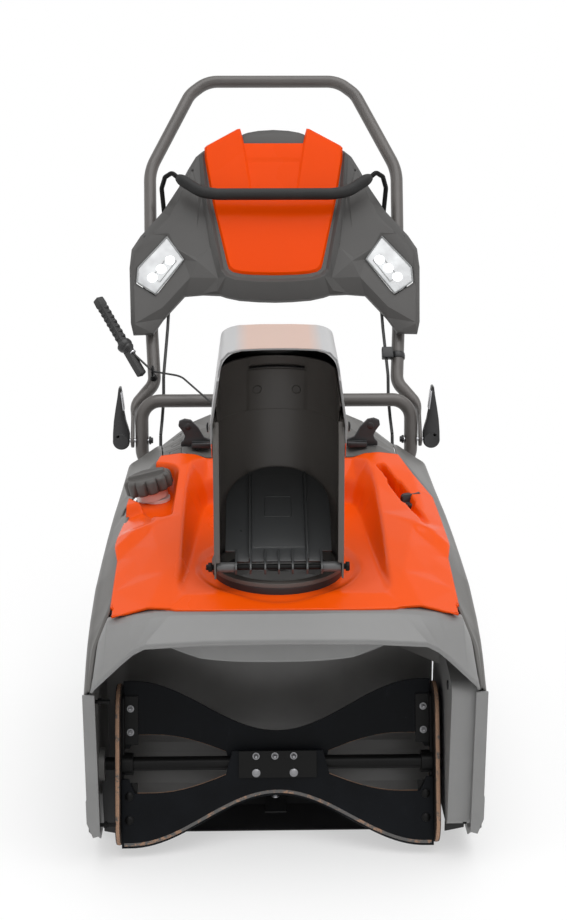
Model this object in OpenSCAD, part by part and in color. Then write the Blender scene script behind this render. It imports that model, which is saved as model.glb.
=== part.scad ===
// Single-stage walk-behind snow thrower with a rubber-paddle auger, a turning
// chute and a folding handle.
// +X is across the machine, +Y runs from the intake back to the handle and +Z is up.
// The origin is the middle of the scraper's wear face, on the ground. Lengths are in mm.

/* [Intake] */
// Inside width between the two side plates
intake_w = 532; // [500:2:560]
// Thickness of the side plates, the scroll and the roof sheet
sheet_t = 2; // [1.5:0.5:3]
// Distance of the auger axis ahead of the scraper's wear face
auger_ahead = 24; // [20:1:30]
// Height of the auger axis above the ground
auger_z = 122; // [120:1:126]
// Radius swept by the paddles
auger_r = 119; // [112:1:120]
// Gap between the swept circle and the scroll
scroll_gap = 7; // [5:1:12]
// Height of the top of the roof sheet
roof_z = 384; // [380:1:386]
// Distance of the side plates' front edges ahead of the scraper
mouth_ahead = 105; // [100:1:110]

/* [Auger] */
// Radius of the auger shaft
shaft_r = 10; // [9:0.5:12]
// Gap between the left plate and the auger's left end bracket
auger_end_left = 32; // [28:1:36]
// Gap between the belt cover's wall and the auger's right end bracket
auger_end_right = 14; // [10:1:18]
// Thickness of the rubber paddles
paddle_t = 6; // [5:0.5:8]
// Radius of the paddles at their narrow waist
waist_r = 44; // [38:1:60]
// Thickness of the rubber end flights
flight_t = 7; // [5:0.5:8]

/* [Drive] */
// Outer radius of the auger pulley
auger_pulley_r = 57; // [50:1:58]
// Outer radius of the engine pulley
crank_pulley_r = 20; // [18:1:24]
// Outer radius of the idler pulley
idler_r = 22; // [18:1:24]
// Distance of the crankshaft behind the scraper
crank_y = 250; // [245:1:255]
// Height of the crankshaft
crank_z = 240; // [236:1:246]
// Width of the V-belt
belt_w = 8.6; // [7:0.2:9]
// Width of the belt bay, from the belt cover's wall to the right side plate
belt_bay = 38; // [36:1:40]

/* [Wheels] */
// Outer radius of the tyres
tyre_r = 100; // [95:1:102]
// Width of the tyres
tyre_w = 36; // [30:1:38]
// Distance of the axle behind the scraper
axle_y = 450; // [440:1:460]
// Radius of the axle
axle_r = 8; // [7:0.5:10]
// Gap between a wheel and the leg of the handle beside it
wheel_gap = 6; // [4:1:8]

/* [Body panels] */
// Thickness of the moulded panels
panel_t = 3; // [2.5:0.5:4]
// How far the guard strips stand out past the side plates
guard_ledge = 12; // [10:1:14]
// Rearmost point of the side covers
cover_rear = 543; // [530:1:550]

/* [Chute] */
// Chute axis, from the machine's middle
chute_x = -8; // [-10:1:0]
// Chute axis, behind the scraper
chute_y = 40; // [38:1:44]
// Outside half width of the chute channel
chute_r = 88.5; // [86:0.5:90]
// Wall of the chute and of the deflector
chute_t = 2.5; // [2:0.5:3]
// Height of the deflector's pivots
pivot_z = 624; // [610:1:640]
// Distance of the deflector's pivots behind the scraper
pivot_y = -15; // [-20:1:-10]
// Height of the deflector's top
deflector_top = 746; // [730:1:760]
// Radius of the flap's pin
pin_r = 4; // [3:0.5:5]
// Height of the flap's pin
pin_z = 433; // [431:1:436]
// Distance of the flap's pin ahead of the scraper
pin_ahead = 45; // [42:1:48]
// Length of the flap from its pin to its rounded tip
flap_l = 192; // [186:1:193]
// Slope of the resting flap
flap_slope = 28.7; // [28:0.1:30]

/* [Handle] */
// Radius of the handle tubes
tube_r = 12; // [11:0.5:13]
// Height of the fold bolts
fold_z = 420; // [410:1:430]
// Distance of the fold bolts behind the scraper
fold_y = 625; // [615:1:635]
// Backward lean of the upper handle
handle_lean = 36.7; // [33:0.1:40]
// Length of the upper handle from the fold bolts to the grip bar
handle_l = 762; // [720:1:800]
// Half of the upper handle's width at its shoulders
handle_half = 240; // [235:1:242]
// Half of the lower handle's width
leg_half = 244; // [243:1:245]
// How far the legs come in below the bend, beside the deck
leg_jog = 44; // [40:1:46]

/* [Hidden] */
$fn = 64;

fit = 0.05;      // running clearance of a shaft in its bore, on the radius
seat = 0.3;      // gap between pieces that rest against each other
eps = 1;         // overlap used by cutting tools

auger_y = -auger_ahead;
mouth_y = -mouth_ahead;
plate_x = intake_w / 2;
belt_cover_x = plate_x - belt_bay;
scroll_r = auger_r + scroll_gap;
auger_left = auger_end_left - plate_x;
auger_right = belt_cover_x - auger_end_right;
auger_w = auger_right - auger_left;
auger_mid = (auger_left + auger_right) / 2;
guard_out = plate_x + guard_ledge;
leg_in = leg_half - leg_jog;
wheel_in = leg_in + tube_r + wheel_gap;
plate_cx = leg_half + 14;         // inner face of the upper handle's flat ends
cam_x = leg_half + 37;
cable_x = leg_half - 34;
pulley_x = belt_cover_x + 10;
pulley_w = 14;
pin_y = -pin_ahead;
handle_dir = [0, sin(handle_lean), cos(handle_lean)];
handle_out = [0, -cos(handle_lean), sin(handle_lean)];

orange = [0.87, 0.25, 0.05];
dark_grey = [0.36, 0.36, 0.36];
light_grey = [0.5, 0.5, 0.5];
black = [0.08, 0.08, 0.09];
steel = [0.62, 0.63, 0.65];

// ---- helpers ----

function unit(v) = v / norm(v);
function reversed(list) = [for (i = [len(list) - 1 : -1 : 0]) list[i]];
function mix(a, b, t) = a * (1 - t) + b * t;

// A point of the folding handle's own plane: across, along it from the fold bolts, in front of it.
function hp(x, s, n = 0) = [x, fold_y, fold_z] + s * handle_dir + n * handle_out;

// A route with each corner rounded to a radius, in as many steps as asked.
function corner(a, b, c, r, steps) =
  let (u = unit(b - a), w = unit(c - b), turn = acos(u * w))
  turn < 1 ? [b] :
  let (side = unit(w - u), centre = b + side * r / cos(turn / 2))
  [for (i = [0 : steps])
    let (t = turn * (i / steps - 0.5))
    centre - r * (side * cos(t) - unit(u + w) * sin(t))];
function rounded(route, r, steps) =
  [for (i = [0 : len(route) - 1])
    each (i == 0 || i == len(route) - 1) ? [route[i]]
      : corner(route[i - 1], route[i], route[i + 1], r, steps)];

// A round bar swept along a route whose bends all turn about lines near to one direction.
module sweep(route, r, about, sides = 16) {
  n = len(route);
  rings = [for (i = [0 : n - 1])
    let (t = unit(route[min(i + 1, n - 1)] - route[max(i - 1, 0)]),
         a = unit(about - (about * t) * t), b = cross(t, a))
    [for (k = [0 : sides - 1])
      route[i] + r * (a * cos(360 * k / sides) + b * sin(360 * k / sides))]];
  skin(rings);
}

// A closed solid through a row of loops that have the same, even number of points. Each end is
// closed by a strip of triangles between the loop's first half and its second.
module skin(loops) {
  m = len(loops[0]);
  n = len(loops);
  points = [for (loop = loops) each loop];
  walls = [for (i = [0 : n - 2], k = [0 : m - 1])
    let (a = i * m + k, b = i * m + (k + 1) % m, c = a + m, d = b + m)
    each [[a, c, b], [b, c, d]]];
  end = [for (k = [0 : m / 2 - 2]) each [[k, k + 1, m - 2 - k], [k, m - 2 - k, m - 1 - k]]];
  last = [for (f = end) [for (k = reversed(f)) (n - 1) * m + k]];
  polyhedron(points, concat(end, walls, last), convexity = 8);
}

// Children drawn in the YZ plane, as (y, z), stood up and given a thickness from x0 to x1.
module slab(x0, x1) {
  translate([x0, 0, 0]) rotate([90, 0, 90]) linear_extrude(x1 - x0, convexity = 8) children();
}

// Children drawn in the XZ plane, as (x, z), given a depth from y0 to y1.
module wall(y0, y1) {
  translate([0, y1, 0]) rotate([90, 0, 0]) linear_extrude(y1 - y0, convexity = 8) children();
}

module bar_x(x0, x1, y, z, r) {
  translate([x0, y, z]) rotate([0, 90, 0]) cylinder(r = r, h = x1 - x0);
}

module hex_x(x0, x1, y, z, flat) {
  translate([x0, y, z]) rotate([0, 90, 0]) cylinder(r = flat / sqrt(3), h = x1 - x0, $fn = 6);
}

// ---- intake housing ----

scroll_start = -49;
scroll_back = chute_y + chute_r - 5;
roof_half = 170;
eaves_z = roof_z - 84;

function scroll_line(r) = concat(
  [for (a = [scroll_start : 7 : 0]) [auger_y + r * cos(a), auger_z + r * sin(a)]],
  [[scroll_back + r - scroll_r, roof_z]]);

// The housing's outline seen from the front, brought in by a distance.
module housing_front(inset) {
  polygon([for (side = [-1, 1], p = [[plate_x, -10], [plate_x, eaves_z - inset],
    [roof_half, roof_z - inset]]) side > 0 ? p : [-p[0], p[1]]], paths = [[0, 1, 2, 5, 4, 3]]);
}

throat_bore = chute_r - 5;

module auger_housing() {
  color([0.26, 0.26, 0.26]) difference() {
    union() {
      intersection() {
        union() {
          slab(-plate_x, belt_cover_x - seat)
            polygon(concat(scroll_line(scroll_r), reversed(scroll_line(scroll_r + sheet_t))));
          for (side = [-1, 1]) guide(side);
        }
        wall(mouth_y, cover_rear) housing_front(sheet_t + seat);
      }
      for (side = [-1, 1]) mirror([side < 0 ? 1 : 0, 0, 0]) {
        slab(plate_x, plate_x + sheet_t) polygon([[mouth_y, 58], [mouth_y, 268], [-20, 316],
          [60, 342], [150, 358], [164, 358], [164, 70], [110, 28], [20, 14], [-50, 16]]);
        bar_x(plate_x - 8, plate_x + 1, auger_y, auger_z, 24);
      }
    }
    bar_x(-plate_x - 40, plate_x + 40, auger_y, auger_z, shaft_r + fit);
    translate([chute_x, chute_y, roof_z - throat_h - seat])
      cylinder(r = chute_r + seat, h = 150);
    // Seat of the idler's bolt
    bar_x(plate_x - eps, plate_x + 10, idler_pivot[0], idler_pivot[1], pin_r);
  }
}

// Roof sheet of the housing with the round throat that the chute turns on.
throat_h = 22;

module housing_roof() {
  color([0.26, 0.26, 0.26]) difference() {
    union() {
      difference() {
        wall(-78, scroll_back + sheet_t) housing_front(0);
        wall(-79, scroll_back + sheet_t + eps) housing_front(sheet_t);
      }
      translate([chute_x, chute_y, roof_z - throat_h]) cylinder(r = chute_r, h = throat_h);
    }
    translate([chute_x, chute_y, roof_z - 60]) cylinder(r = throat_bore, h = 150);
    for (side = [-1, 1]) slab(side < 0 ? -plate_x - eps : plate_x - seat,
      side < 0 ? -plate_x + seat : plate_x + eps)
      polygon([[-90, 200], [300, 200], [300, 400], [-90, 400]]);
  }
}

// An angled guide that leads the snow from one side to the throat.
module guide(side) {
  x0 = side < 0 ? plate_x : belt_cover_x - seat;
  mirror([side < 0 ? 1 : 0, 0, 0]) translate([0, 0, 250]) linear_extrude(roof_z - 251)
    polygon([[x0, 30], [x0 - 62, 103], [x0 - 62, 106], [x0, 36]]);
}

// ---- visor ----

// Columns across the visor: its upper edge under the hood and its lower lip.
visor_columns = [
  [[plate_x - 5.6, -60, 321], [plate_x - 1.6, -112, 283]],
  [[plate_x - 8.5, -67, 335], [plate_x - 3, -118, 288]],
  [[plate_x - 23, -80, 371], [plate_x - 20, -122, 303]],
  [[plate_x - 61, -86, 382], [plate_x - 44, -125, 324]],
  [[153, -91, 389], [199, -128, 345]],
  [[80, -92, 390], [110, -129, 349]],
  [[0, -92, 390], [0, -129, 350]]];
apron_r = 720;

module visor() {
  inward = [0, panel_t, -0.85 * panel_t];
  half = [for (c = visor_columns) [c[0], c[0] + inward, c[1] + inward, c[1]]];
  other = [for (i = [len(half) - 2 : -1 : 0]) [for (p = half[i]) [-p[0], p[1], p[2]]]];
  color(light_grey) {
    skin(concat(half, other));
    // Arched apron behind the lip
    difference() {
      wall(-92, -89.3) polygon([[-205, 300], [-205, 372], [-160, 388], [160, 388], [205, 372],
        [205, 300]]);
      translate([chute_x, -60, 302 - apron_r]) rotate([90, 0, 0])
        cylinder(r = apron_r, h = 60, $fn = 200);
    }
  }
}

// ---- side covers and guard strips ----

// Stations along a side cover: y, top of the side, lower edge, and the shoulder's inner edge
// as a distance inside the side plate and a height.
cover_stations = [
  [-108, 276, 62, -2, 278], [-66, 310, 30, 4, 326], [-40, 326, 26, 23, 366],
  [0, 341, 20, 29, 378], [74, 360, 20, 31, 397], [150, 371, 40, 29, 416],
  [226, 380, 56, 34, 425], [270, 384, 70, 62, 450], [310, 387, 190, 73, 460],
  [332, 388, 200, 76, 465], [345, 388, 205, 76, 476], [430, 391, 222, 70, 461],
  [cover_rear, 398, 232, 61, 434]];

function cover_x(y) = plate_x + 7.5 - 0.024 * max(0, y - 60);

module side_cover(side) {
  color(dark_grey) mirror([side < 0 ? 1 : 0, 0, 0]) skin([for (s = cover_stations)
    let (x = cover_x(s[0]), top = s[1], low = s[2], t = panel_t, in = plate_x - s[3],
         loop = [[x, low], [x + 1, low + 40], [x, top - 7], [x - 3.5, top],
                 [in, s[4]], [in - 1, s[4] - t],
                 [x - 5.5, top - t], [x - t, top - 9], [x - t + 1, low + 40], [x - t, low]])
    [for (p = reversed(loop)) [p[0], s[0], p[1]]]]);
}

module side_cover_left() {
  color(dark_grey) difference() {
    side_cover(-1);
    linear_extrude(600) offset(delta = panel_t) polygon([[-244, 241], [-234, 226], [-190, 215],
      [-190, 309], [-234, 298], [-244, 283]]);
  }
}

module side_cover_right() { side_cover(1); }

module guard_strips() {
  color(light_grey) for (side = [-1, 1]) mirror([side < 0 ? 1 : 0, 0, 0]) {
    wall(mouth_y - 8, mouth_y - 4) polygon([[plate_x - 6, 274], [guard_out - 1.5, 274],
      [guard_out - 1, 116], [guard_out, 112], [guard_out, 78], [guard_out - 8, 55], [plate_x - 6, 58]]);
    wall(mouth_y - 5, mouth_y + 22) polygon([[guard_out - 2.9, 255], [guard_out - 1.5, 255],
      [guard_out - 1, 116], [guard_out, 112], [guard_out, 78], [guard_out - 2.9, 72]]);
    // Foot that ties the strip to the side plate
    wall(mouth_y - 5, mouth_y - seat) polygon([[plate_x - 4, 100], [plate_x + 2, 100],
      [plate_x + 2, 240], [plate_x - 4, 240]]);
  }
}

// ---- hood ----

// Stations along the hood: y, valley height, half width of the valley, crest height, crease
// across and up, outer edge inside the side plate and up, and how far that edge sits behind.
// The valley stays low round the chute and rises in one step to the hood's rear edge.
hood_stations = [
  [-89, 391, 149, 391, 157, 391, 23, 372, 13], [-60, 397, 143, 400, 160, 399, 25, 378, 5],
  [-20, 401, 140, 411, 166, 409, 26, 387, 0], [22, 403, 137, 422, 174, 419, 26, 396, 0],
  [62, 404, 135, 431, 184, 427, 27, 403, 0], [92, 405, 133, 438, 191, 434, 20, 412, 0],
  [112, 406, 132, 442, 195, 439, 21, 416, 0], [141, 407, 130, 448, 195, 442, 23, 422, 0],
  [183, 409, 128, 456, 195, 450, 26, 431, 0], [226, 410, 126, 465, 193, 459, 30, 440, 0],
  [268, 411, 124, 473, 180, 473, 57, 466, 0], [292, 414, 120, 478, 173, 480, 65, 472, 0],
  [304, 446, 126, 481, 171, 482, 68, 475, 0], [331, 474, 126, 484, 168, 484, 75, 480, 0]];
crest_x = 148;
skirt = 13;

function hood_half(s, drop) =
  let (y = s[0], x = plate_x - s[6], lag = s[8])
  [[0, y, s[1] - drop], [s[2] - 10, y, s[1] - drop], [s[2], y, s[1] + 1 - drop],
   [crest_x, y + lag * 0.1, s[3] - drop], [s[4], y + lag * 0.3, s[5] - drop],
   [x - 5, y + lag, s[7] + 2 - drop], [x - drop * 0.6, y + lag, s[7] - 3 - drop * 0.4],
   [x + 1 - drop * 0.6, y + lag, s[7] - skirt]];

function across(half) = concat([for (p = reversed(half)) [-p[0], p[1], p[2]]],
  [for (i = [1 : len(half) - 1]) half[i]]);

function hood_loop(s) =
  concat(across(hood_half(s, 0)), reversed(across(hood_half(s, panel_t))));

// The hood as a full solid down to a level, used to trim what is let into it.
module hood_solid() {
  skin([for (s = hood_stations)
    let (top = across(hood_half(s, 0.4)))
    concat(top, [for (p = reversed(top)) [p[0], p[1], 300]])]);
}

cap_at = [-204, 262, 446];
cap_tilt = -14;
cap_r = 38;
knob_at = [200, 212, 431];

// The scoop round the fuel cap, drawn out to a point at the front; a ring of flats.
module fuel_bowl(grow) {
  translate([cap_at[0] + 3, cap_at[1], 0]) linear_extrude(600) offset(delta = grow)
    polygon(concat([for (a = [-27 : 13.5 : 207]) 42 * [cos(a), sin(a)]],
      [[14, -115], [36, -115]]));
}

module pocket(grow) {
  linear_extrude(600) offset(delta = grow) polygon([[219, 128], [216, 222], [211, 236],
    [200, 246], [165, 289], [157, 290], [154, 281], [165, 220], [170, 207], [179, 198],
    [209, 128]]);
}

module hood() {
  color(orange) difference() {
    union() {
      difference() {
        skin([for (s = hood_stations) hood_loop(s)]);
        fuel_bowl(0);
        pocket(0);
      }
      intersection() {
        hood_solid();
        union() {
          difference() {
            translate([0, 0, 429]) fuel_bowl(panel_t);
            translate([0, 0, 432]) fuel_bowl(0);
          }
          difference() {
            translate([0, 0, knob_at[2] - seat - panel_t]) pocket(panel_t);
            translate([0, 0, knob_at[2] - seat]) pocket(0);
          }
        }
      }
    }
    translate([chute_x, chute_y, 300]) cylinder(r = chute_r + 7, h = 200);
    translate(cap_at) rotate([0, cap_tilt, 0]) translate([0, 0, -40]) cylinder(r = 27, h = 60);
  }
}

// ---- rear shroud ----

shroud_stations = [
  [333.5, 188, 478, 483, 476], [380, 190, 471, 488, 488], [450, 195, 457, 486, 494],
  [540, 203, 435, 478, 491], [556, 200, 425, 462, 478]];

module rear_shroud() {
  t = panel_t;
  color(dark_grey) difference() {
    union() {
      skin([for (s = shroud_stations)
        let (half = [[0, s[0], s[4]], [118, s[0], s[4]], [148, s[0], s[3]], [s[1], s[0], s[2]]],
             under = [for (p = half) p - [0, 0, t]])
        concat(across(half), reversed(across(under)))]);
      // Rear wall
      wall(556, 559) polygon([[-200, 425], [-148, 462], [-118, 478], [118, 478], [148, 462],
        [200, 425], [200, 300], [-200, 300]]);
    }
    // Cooling louvres
    for (side = [-1, 1], i = [0 : 4])
      translate([side * 72 - 34, 400 + i * 26, 450]) cube([68, 10, 60]);
    for (i = [0 : 5]) translate([-90, 550, 320 + i * 20]) cube([180, 20, 9]);
  }
}

// ---- belt cover and scraper ----

module cover_outline(g) {
  hull() for (p = [[-84, 78], [80, 78], [80, eaves_z - 22], [-84, eaves_z - 40]])
    translate(p) circle(20 - g);
}

module belt_cover() {
  color(light_grey) difference() {
    slab(belt_cover_x, plate_x - 0.5) cover_outline(0);
    slab(belt_cover_x + 2.5, plate_x + eps) cover_outline(2.5);
    bar_x(belt_cover_x - eps, belt_cover_x + 9, auger_y, auger_z, shaft_r + 2);
    // Way out for the belt
    slab(belt_cover_x + 2.5, plate_x + eps) polygon([[60, 90], [120, 90], [120, 300], [60, 300]]);
  }
}

module scraper_bar() {
  color(black) difference() {
    union() {
      slab(16 - plate_x, belt_cover_x - 2) polygon([[-8, 0], [9, 0], [62, 16], [62, 25.1],
        [50, 25.1], [40, 16.5], [-8, 1.6]]);
      slab(-28, 4) polygon([[24, 8], [50, 20], [50, 26.6], [24, 12.6]]);
    }
    for (x = [-200, -12, 176]) translate([x, 52, -10]) cylinder(r = 4.2, h = 60);
  }
}

// ---- deck, axle and engine ----

deck_half = leg_in - tube_r - seat;
deck_z = 131;

module deck() {
  color([0.2, 0.2, 0.21]) difference() {
    union() {
      translate([-deck_half, 112, deck_z - 3]) cube([2 * deck_half, 408, 3]);
      translate([-deck_half, 105.1, 96]) cube([2 * deck_half, 3, 35]);
      translate([-deck_half, 105.1, deck_z - 3]) cube([2 * deck_half, 8, 3]);
      for (side = [-1, 1]) mirror([side < 0 ? 1 : 0, 0, 0])
        slab(deck_half - 3, deck_half) polygon([[112, deck_z], [112, 86], [460, 66], [550, 96],
          [592, 258], [560, 272], [520, 190], [500, deck_z]]);
    }
    bar_x(-300, 300, axle_y, 100, axle_r + fit);
    for (x = [-110 : 55 : 110]) translate([x, 430, 100]) cylinder(r = 14, h = 50);
  }
}

module axle() {
  color(steel) bar_x(-wheel_in - tyre_w - 2, wheel_in + tyre_w + 2, axle_y, 100, axle_r);
}

module engine_block() {
  color([0.3, 0.3, 0.31]) difference() {
    union() {
      translate([-92, 190, deck_z + seat]) cube([197, 130, 30]);
      bar_x(-92, 112, crank_y, crank_z, 62);
      translate([-80, 200, 160]) cube([180, 100, 60]);
      // Cylinder with its cooling fins
      translate([0, crank_y, crank_z]) rotate([-20, 0, 0]) {
        translate([-45, -45, 0]) cube([90, 90, 150]);
        for (z = [66 : 10 : 146]) translate([-62, -60, z]) cube([124, 120, 4]);
      }
    }
    bar_x(40, 200, crank_y, crank_z, shaft_r + fit);
  }
}

module muffler() {
  color([0.22, 0.21, 0.2]) difference() {
    translate([-70, 358, 262]) cube([140, 66, 110]);
    for (i = [0 : 5]) translate([-50 + i * 18, 416, 285]) cube([8, 20, 64]);
  }
}

module recoil_housing() {
  color(black) difference() {
    translate([-150, crank_y, crank_z]) rotate([0, 90, 0]) union() {
      cylinder(r1 = 66, r2 = 88, h = 28);
      translate([0, 0, 28]) cylinder(r = 88, h = 29.5);
    }
    for (a = [0 : 30 : 330]) translate([-152, crank_y, crank_z]) rotate([a, 0, 0])
      translate([0, 0, 34]) rotate([0, 90, 0]) cylinder(r = 7, h = 24);
  }
}

module fuel_tank() {
  color([0.12, 0.12, 0.12]) difference() {
    translate([-232, 196, 345]) cube([76, 130, 62]);
    translate([-196, 262, 395]) cylinder(r = 23 + fit, h = 40);
  }
}

module filler_neck() {
  color([0.85, 0.85, 0.84]) difference() {
    union() {
      translate(cap_at) rotate([0, cap_tilt, 0]) translate([0, 0, -14]) cylinder(r = 25, h = 13.7);
      translate([-196, 262, 396]) cylinder(r = 23, h = 34);
      translate([-197, 262, 424]) cylinder(r = 23.5, h = 10);
    }
    translate([-197, 262, 404]) rotate([0, -8, 0]) cylinder(r = 18, h = 60);
  }
}

// ---- belt drive ----

drive_run = [crank_y - auger_y, crank_z - auger_z];
drive_l = norm(drive_run);
drive_turn = atan2(drive_run[1], drive_run[0]) + acos((auger_pulley_r - crank_pulley_r) / drive_l);
belt_side = [cos(drive_turn), sin(drive_turn)];
idler_gap = 5;
belt_depth = 7;
belt_mid = [auger_y, auger_z] + drive_run * 0.45
  + belt_side * mix(auger_pulley_r, crank_pulley_r, 0.45);
idler_at = belt_mid + belt_side * (idler_r + idler_gap);
idler_pivot = idler_at + [56, 56];

module groove(r) {
  rotate_extrude() polygon([[r - 8.4, -4.7], [r - 8.4, 4.7], [r + 1, 7.2], [r + 1, -7.2]]);
}

module pulley(r, bore) {
  translate([pulley_x, 0, 0]) rotate([0, 90, 0]) difference() {
    cylinder(r = r, h = pulley_w);
    translate([0, 0, -eps]) cylinder(r = bore, h = pulley_w + 2 * eps);
    translate([0, 0, pulley_w / 2]) groove(r);
  }
}

module drive_belt() {
  x = pulley_x + (pulley_w - belt_w) / 2;
  color(black) difference() {
    slab(x, x + belt_w) hull() {
      translate([auger_y, auger_z]) circle(auger_pulley_r - 1);
      translate([crank_y, crank_z]) circle(crank_pulley_r - 1);
    }
    slab(x - eps, x + belt_w + eps) hull() {
      translate([auger_y, auger_z]) circle(auger_pulley_r - 1 - belt_depth);
      translate([crank_y, crank_z]) circle(crank_pulley_r - 1 - belt_depth);
    }
  }
}

module crankshaft() {
  color(steel) bar_x(60, pulley_x + pulley_w + 4, crank_y, crank_z, shaft_r);
}

module crank_pulley() {
  color([0.35, 0.35, 0.36]) translate([0, crank_y, crank_z]) pulley(crank_pulley_r, shaft_r + 0.02);
}

module auger_pulley() {
  color([0.35, 0.35, 0.36]) translate([0, auger_y, auger_z]) {
    pulley(auger_pulley_r, shaft_r + 0.02);
  }
}

module idler_bolt() {
  color(steel) {
    bar_x(pulley_x - 7, plate_x + sheet_t, idler_pivot[0], idler_pivot[1], pin_r);
    hex_x(plate_x - 4, plate_x - eps, idler_pivot[0], idler_pivot[1], 12);
  }
}

module idler_arm() {
  color(steel) difference() {
    union() {
      slab(pulley_x - 5, pulley_x - 2) hull() {
        translate(idler_pivot) circle(12);
        translate(idler_at) circle(10);
      }
      bar_x(pulley_x - 3, pulley_x + pulley_w + 2, idler_at[0], idler_at[1], 5);
    }
    bar_x(200, 300, idler_pivot[0], idler_pivot[1], pin_r + fit);
  }
}

module idler_pulley() {
  color([0.3, 0.3, 0.31]) translate([0, idler_at[0], idler_at[1]]) rotate([0, 90, 0])
    translate([0, 0, pulley_x]) difference() {
      union() {
        cylinder(r = idler_r, h = pulley_w);
        for (z = [0, pulley_w - 1.5]) translate([0, 0, z]) cylinder(r = idler_r + 2, h = 1.5);
      }
      translate([0, 0, -eps]) cylinder(r = 5 + fit, h = pulley_w + 2 * eps);
    }
}

// ---- auger ----

auger_rest = 20;

// Pieces of the auger, drawn round its own axis with the lower paddle pointing down.
module auger_frame() {
  translate([0, auger_y, auger_z]) rotate([-auger_rest, 0, 0]) children();
}

module auger_shaft() {
  color([0.1, 0.1, 0.11]) auger_frame()
    bar_x(-plate_x - 1, plate_x + 1, 0, 0, shaft_r);
}

// Outline of a paddle: across, and out from the axis.
paddle_reach = sqrt(pow(auger_r, 2) - pow(shaft_r + paddle_t + seat, 2)) - 0.2;
module paddle_outline() {
  w = auger_w / 2 - seat;
  outer = [for (i = [-24 : 24]) let (t = i / 24)
    [w * t, waist_r + (paddle_reach - waist_r) * (1 - cos(180 * min(1, abs(t) * 1.06))) / 2]];
  inner = [for (i = [24 : -1 : -24]) let (t = i / 24)
    [w * t, abs(t) < 0.3 ? -19 : abs(t) > 0.93 ? 20
      : mix(12, 40, sin(90 * (abs(t) - 0.3) / 0.5 > 90 ? 90 : 90 * (abs(t) - 0.3) / 0.5))]];
  translate([auger_mid, 0]) polygon(concat(outer, inner));
}

module paddle(turn) {
  color(black) auger_frame() rotate([turn, 0, 0]) difference() {
    wall(-shaft_r - seat - paddle_t, -shaft_r - seat) mirror([0, 1, 0]) paddle_outline();
    for (x = [auger_left + 11, auger_right - 11], z = [-78, -44])
      translate([x, -30, z]) rotate([-90, 0, 0]) cylinder(r = 3.2, h = 30);
  }
}

module paddle_lower() { paddle(0); }
module paddle_upper() { paddle(180); }

module clamp_plates() {
  n = shaft_r + paddle_t + 2 * seat;
  color([0.1, 0.1, 0.1]) auger_frame() {
    for (side = [-1, 1]) wall(side > 0 ? n : -n - 3, side > 0 ? n + 3 : -n)
      polygon([[auger_mid - 56, -19], [auger_mid + 56, -19], [auger_mid + 56, 19],
        [auger_mid - 56, 19]]);
  }
}

// A steel end bracket: a hub on the shaft, an arm each way, and a flange behind each paddle.
module bracket(end, side) {
  inner = side < 0 ? end : end - 3;
  color([0.16, 0.16, 0.17]) auger_frame() difference() {
    union() {
      slab(inner, inner + 3) hull() for (z = [-92, 92]) translate([0, z]) circle(8);
      bar_x(side < 0 ? end : end - 16, side < 0 ? end + 16 : end, 0, 0, 16);
      for (turn = [0, 180]) rotate([turn, 0, 0])
        translate([side < 0 ? end : end - 22, -shaft_r, -96]) cube([22, 3, 70]);
    }
    bar_x(-300, 300, 0, 0, shaft_r + 0.02);
    for (turn = [0, 180], z = [-78, -44]) rotate([turn, 0, 0])
      translate([end - side * 11, -30, z]) rotate([-90, 0, 0]) cylinder(r = 3.2, h = 30);
  }
}

module bracket_left() { bracket(auger_left, -1); }
module bracket_right() { bracket(auger_right, 1); }

module flight(end, side) {
  x = side < 0 ? end - flight_t - seat : end + seat;
  color([0.2, 0.15, 0.12]) auger_frame() difference() {
    slab(x, x + flight_t) hull() {
      circle(26);
      for (z = [-74, 74]) translate([0, z]) circle(41);
    }
    bar_x(x - eps, x + flight_t + eps, 0, 0, shaft_r + 0.02);
  }
}

module flight_left() { flight(auger_left, -1); }
module flight_right() { flight(auger_right, 1); }

// ---- wheels ----

module wheel(side) {
  x = side < 0 ? -wheel_in - tyre_w : wheel_in;
  color([0.75, 0.75, 0.74]) translate([x, axle_y, 100]) rotate([0, 90, 0]) difference() {
    union() {
      difference() {
        cylinder(r = tyre_r - 22, h = tyre_w);
        translate([0, 0, -eps]) cylinder(r = tyre_r - 26, h = tyre_w + 2 * eps);
      }
      translate([0, 0, tyre_w / 2 - 2]) cylinder(r = tyre_r - 25, h = 4);
      cylinder(r = 18, h = tyre_w);
    }
    translate([0, 0, -eps]) cylinder(r = axle_r + fit, h = tyre_w + 2 * eps);
    for (a = [0 : 60 : 300]) rotate(a) translate([46, 0, -eps]) cylinder(r = 14, h = 60);
  }
}

module tyre(side) {
  x = side < 0 ? -wheel_in - tyre_w : wheel_in;
  color(black) translate([x, axle_y, 100]) rotate([0, 90, 0]) difference() {
    rotate_extrude() polygon([[tyre_r - 22, 0], [tyre_r - 6, 0], [tyre_r, 6],
      [tyre_r, tyre_w - 6], [tyre_r - 6, tyre_w], [tyre_r - 22, tyre_w]]);
    for (a = [7.5 : 15 : 360], end = [-1, 1])
      rotate(a) translate([tyre_r - 5, -4, end < 0 ? -eps : tyre_w / 2 + 4])
        cube([12, 8, tyre_w / 2 - 3]);
  }
}

module wheel_left() { wheel(-1); }
module wheel_right() { wheel(1); }
module tyre_left() { tyre(-1); }
module tyre_right() { tyre(1); }

// ---- chute ----

throat_r = chute_r - 4;
ring_top = 405;
base_z = ring_top + seat;
flap_half = 74;
hood_gap = 0.6;   // between the channel and the deflector that closes over it
wall_z = 419;     // bottom of the channel's straight side walls

module chute_ring() {
  color(black) translate([chute_x, chute_y, 0]) difference() {
    translate([0, 0, roof_z]) cylinder(r = chute_r + 6, h = ring_top - roof_z);
    translate([0, 0, roof_z - eps]) cylinder(r = throat_r, h = 60);
  }
}

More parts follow.
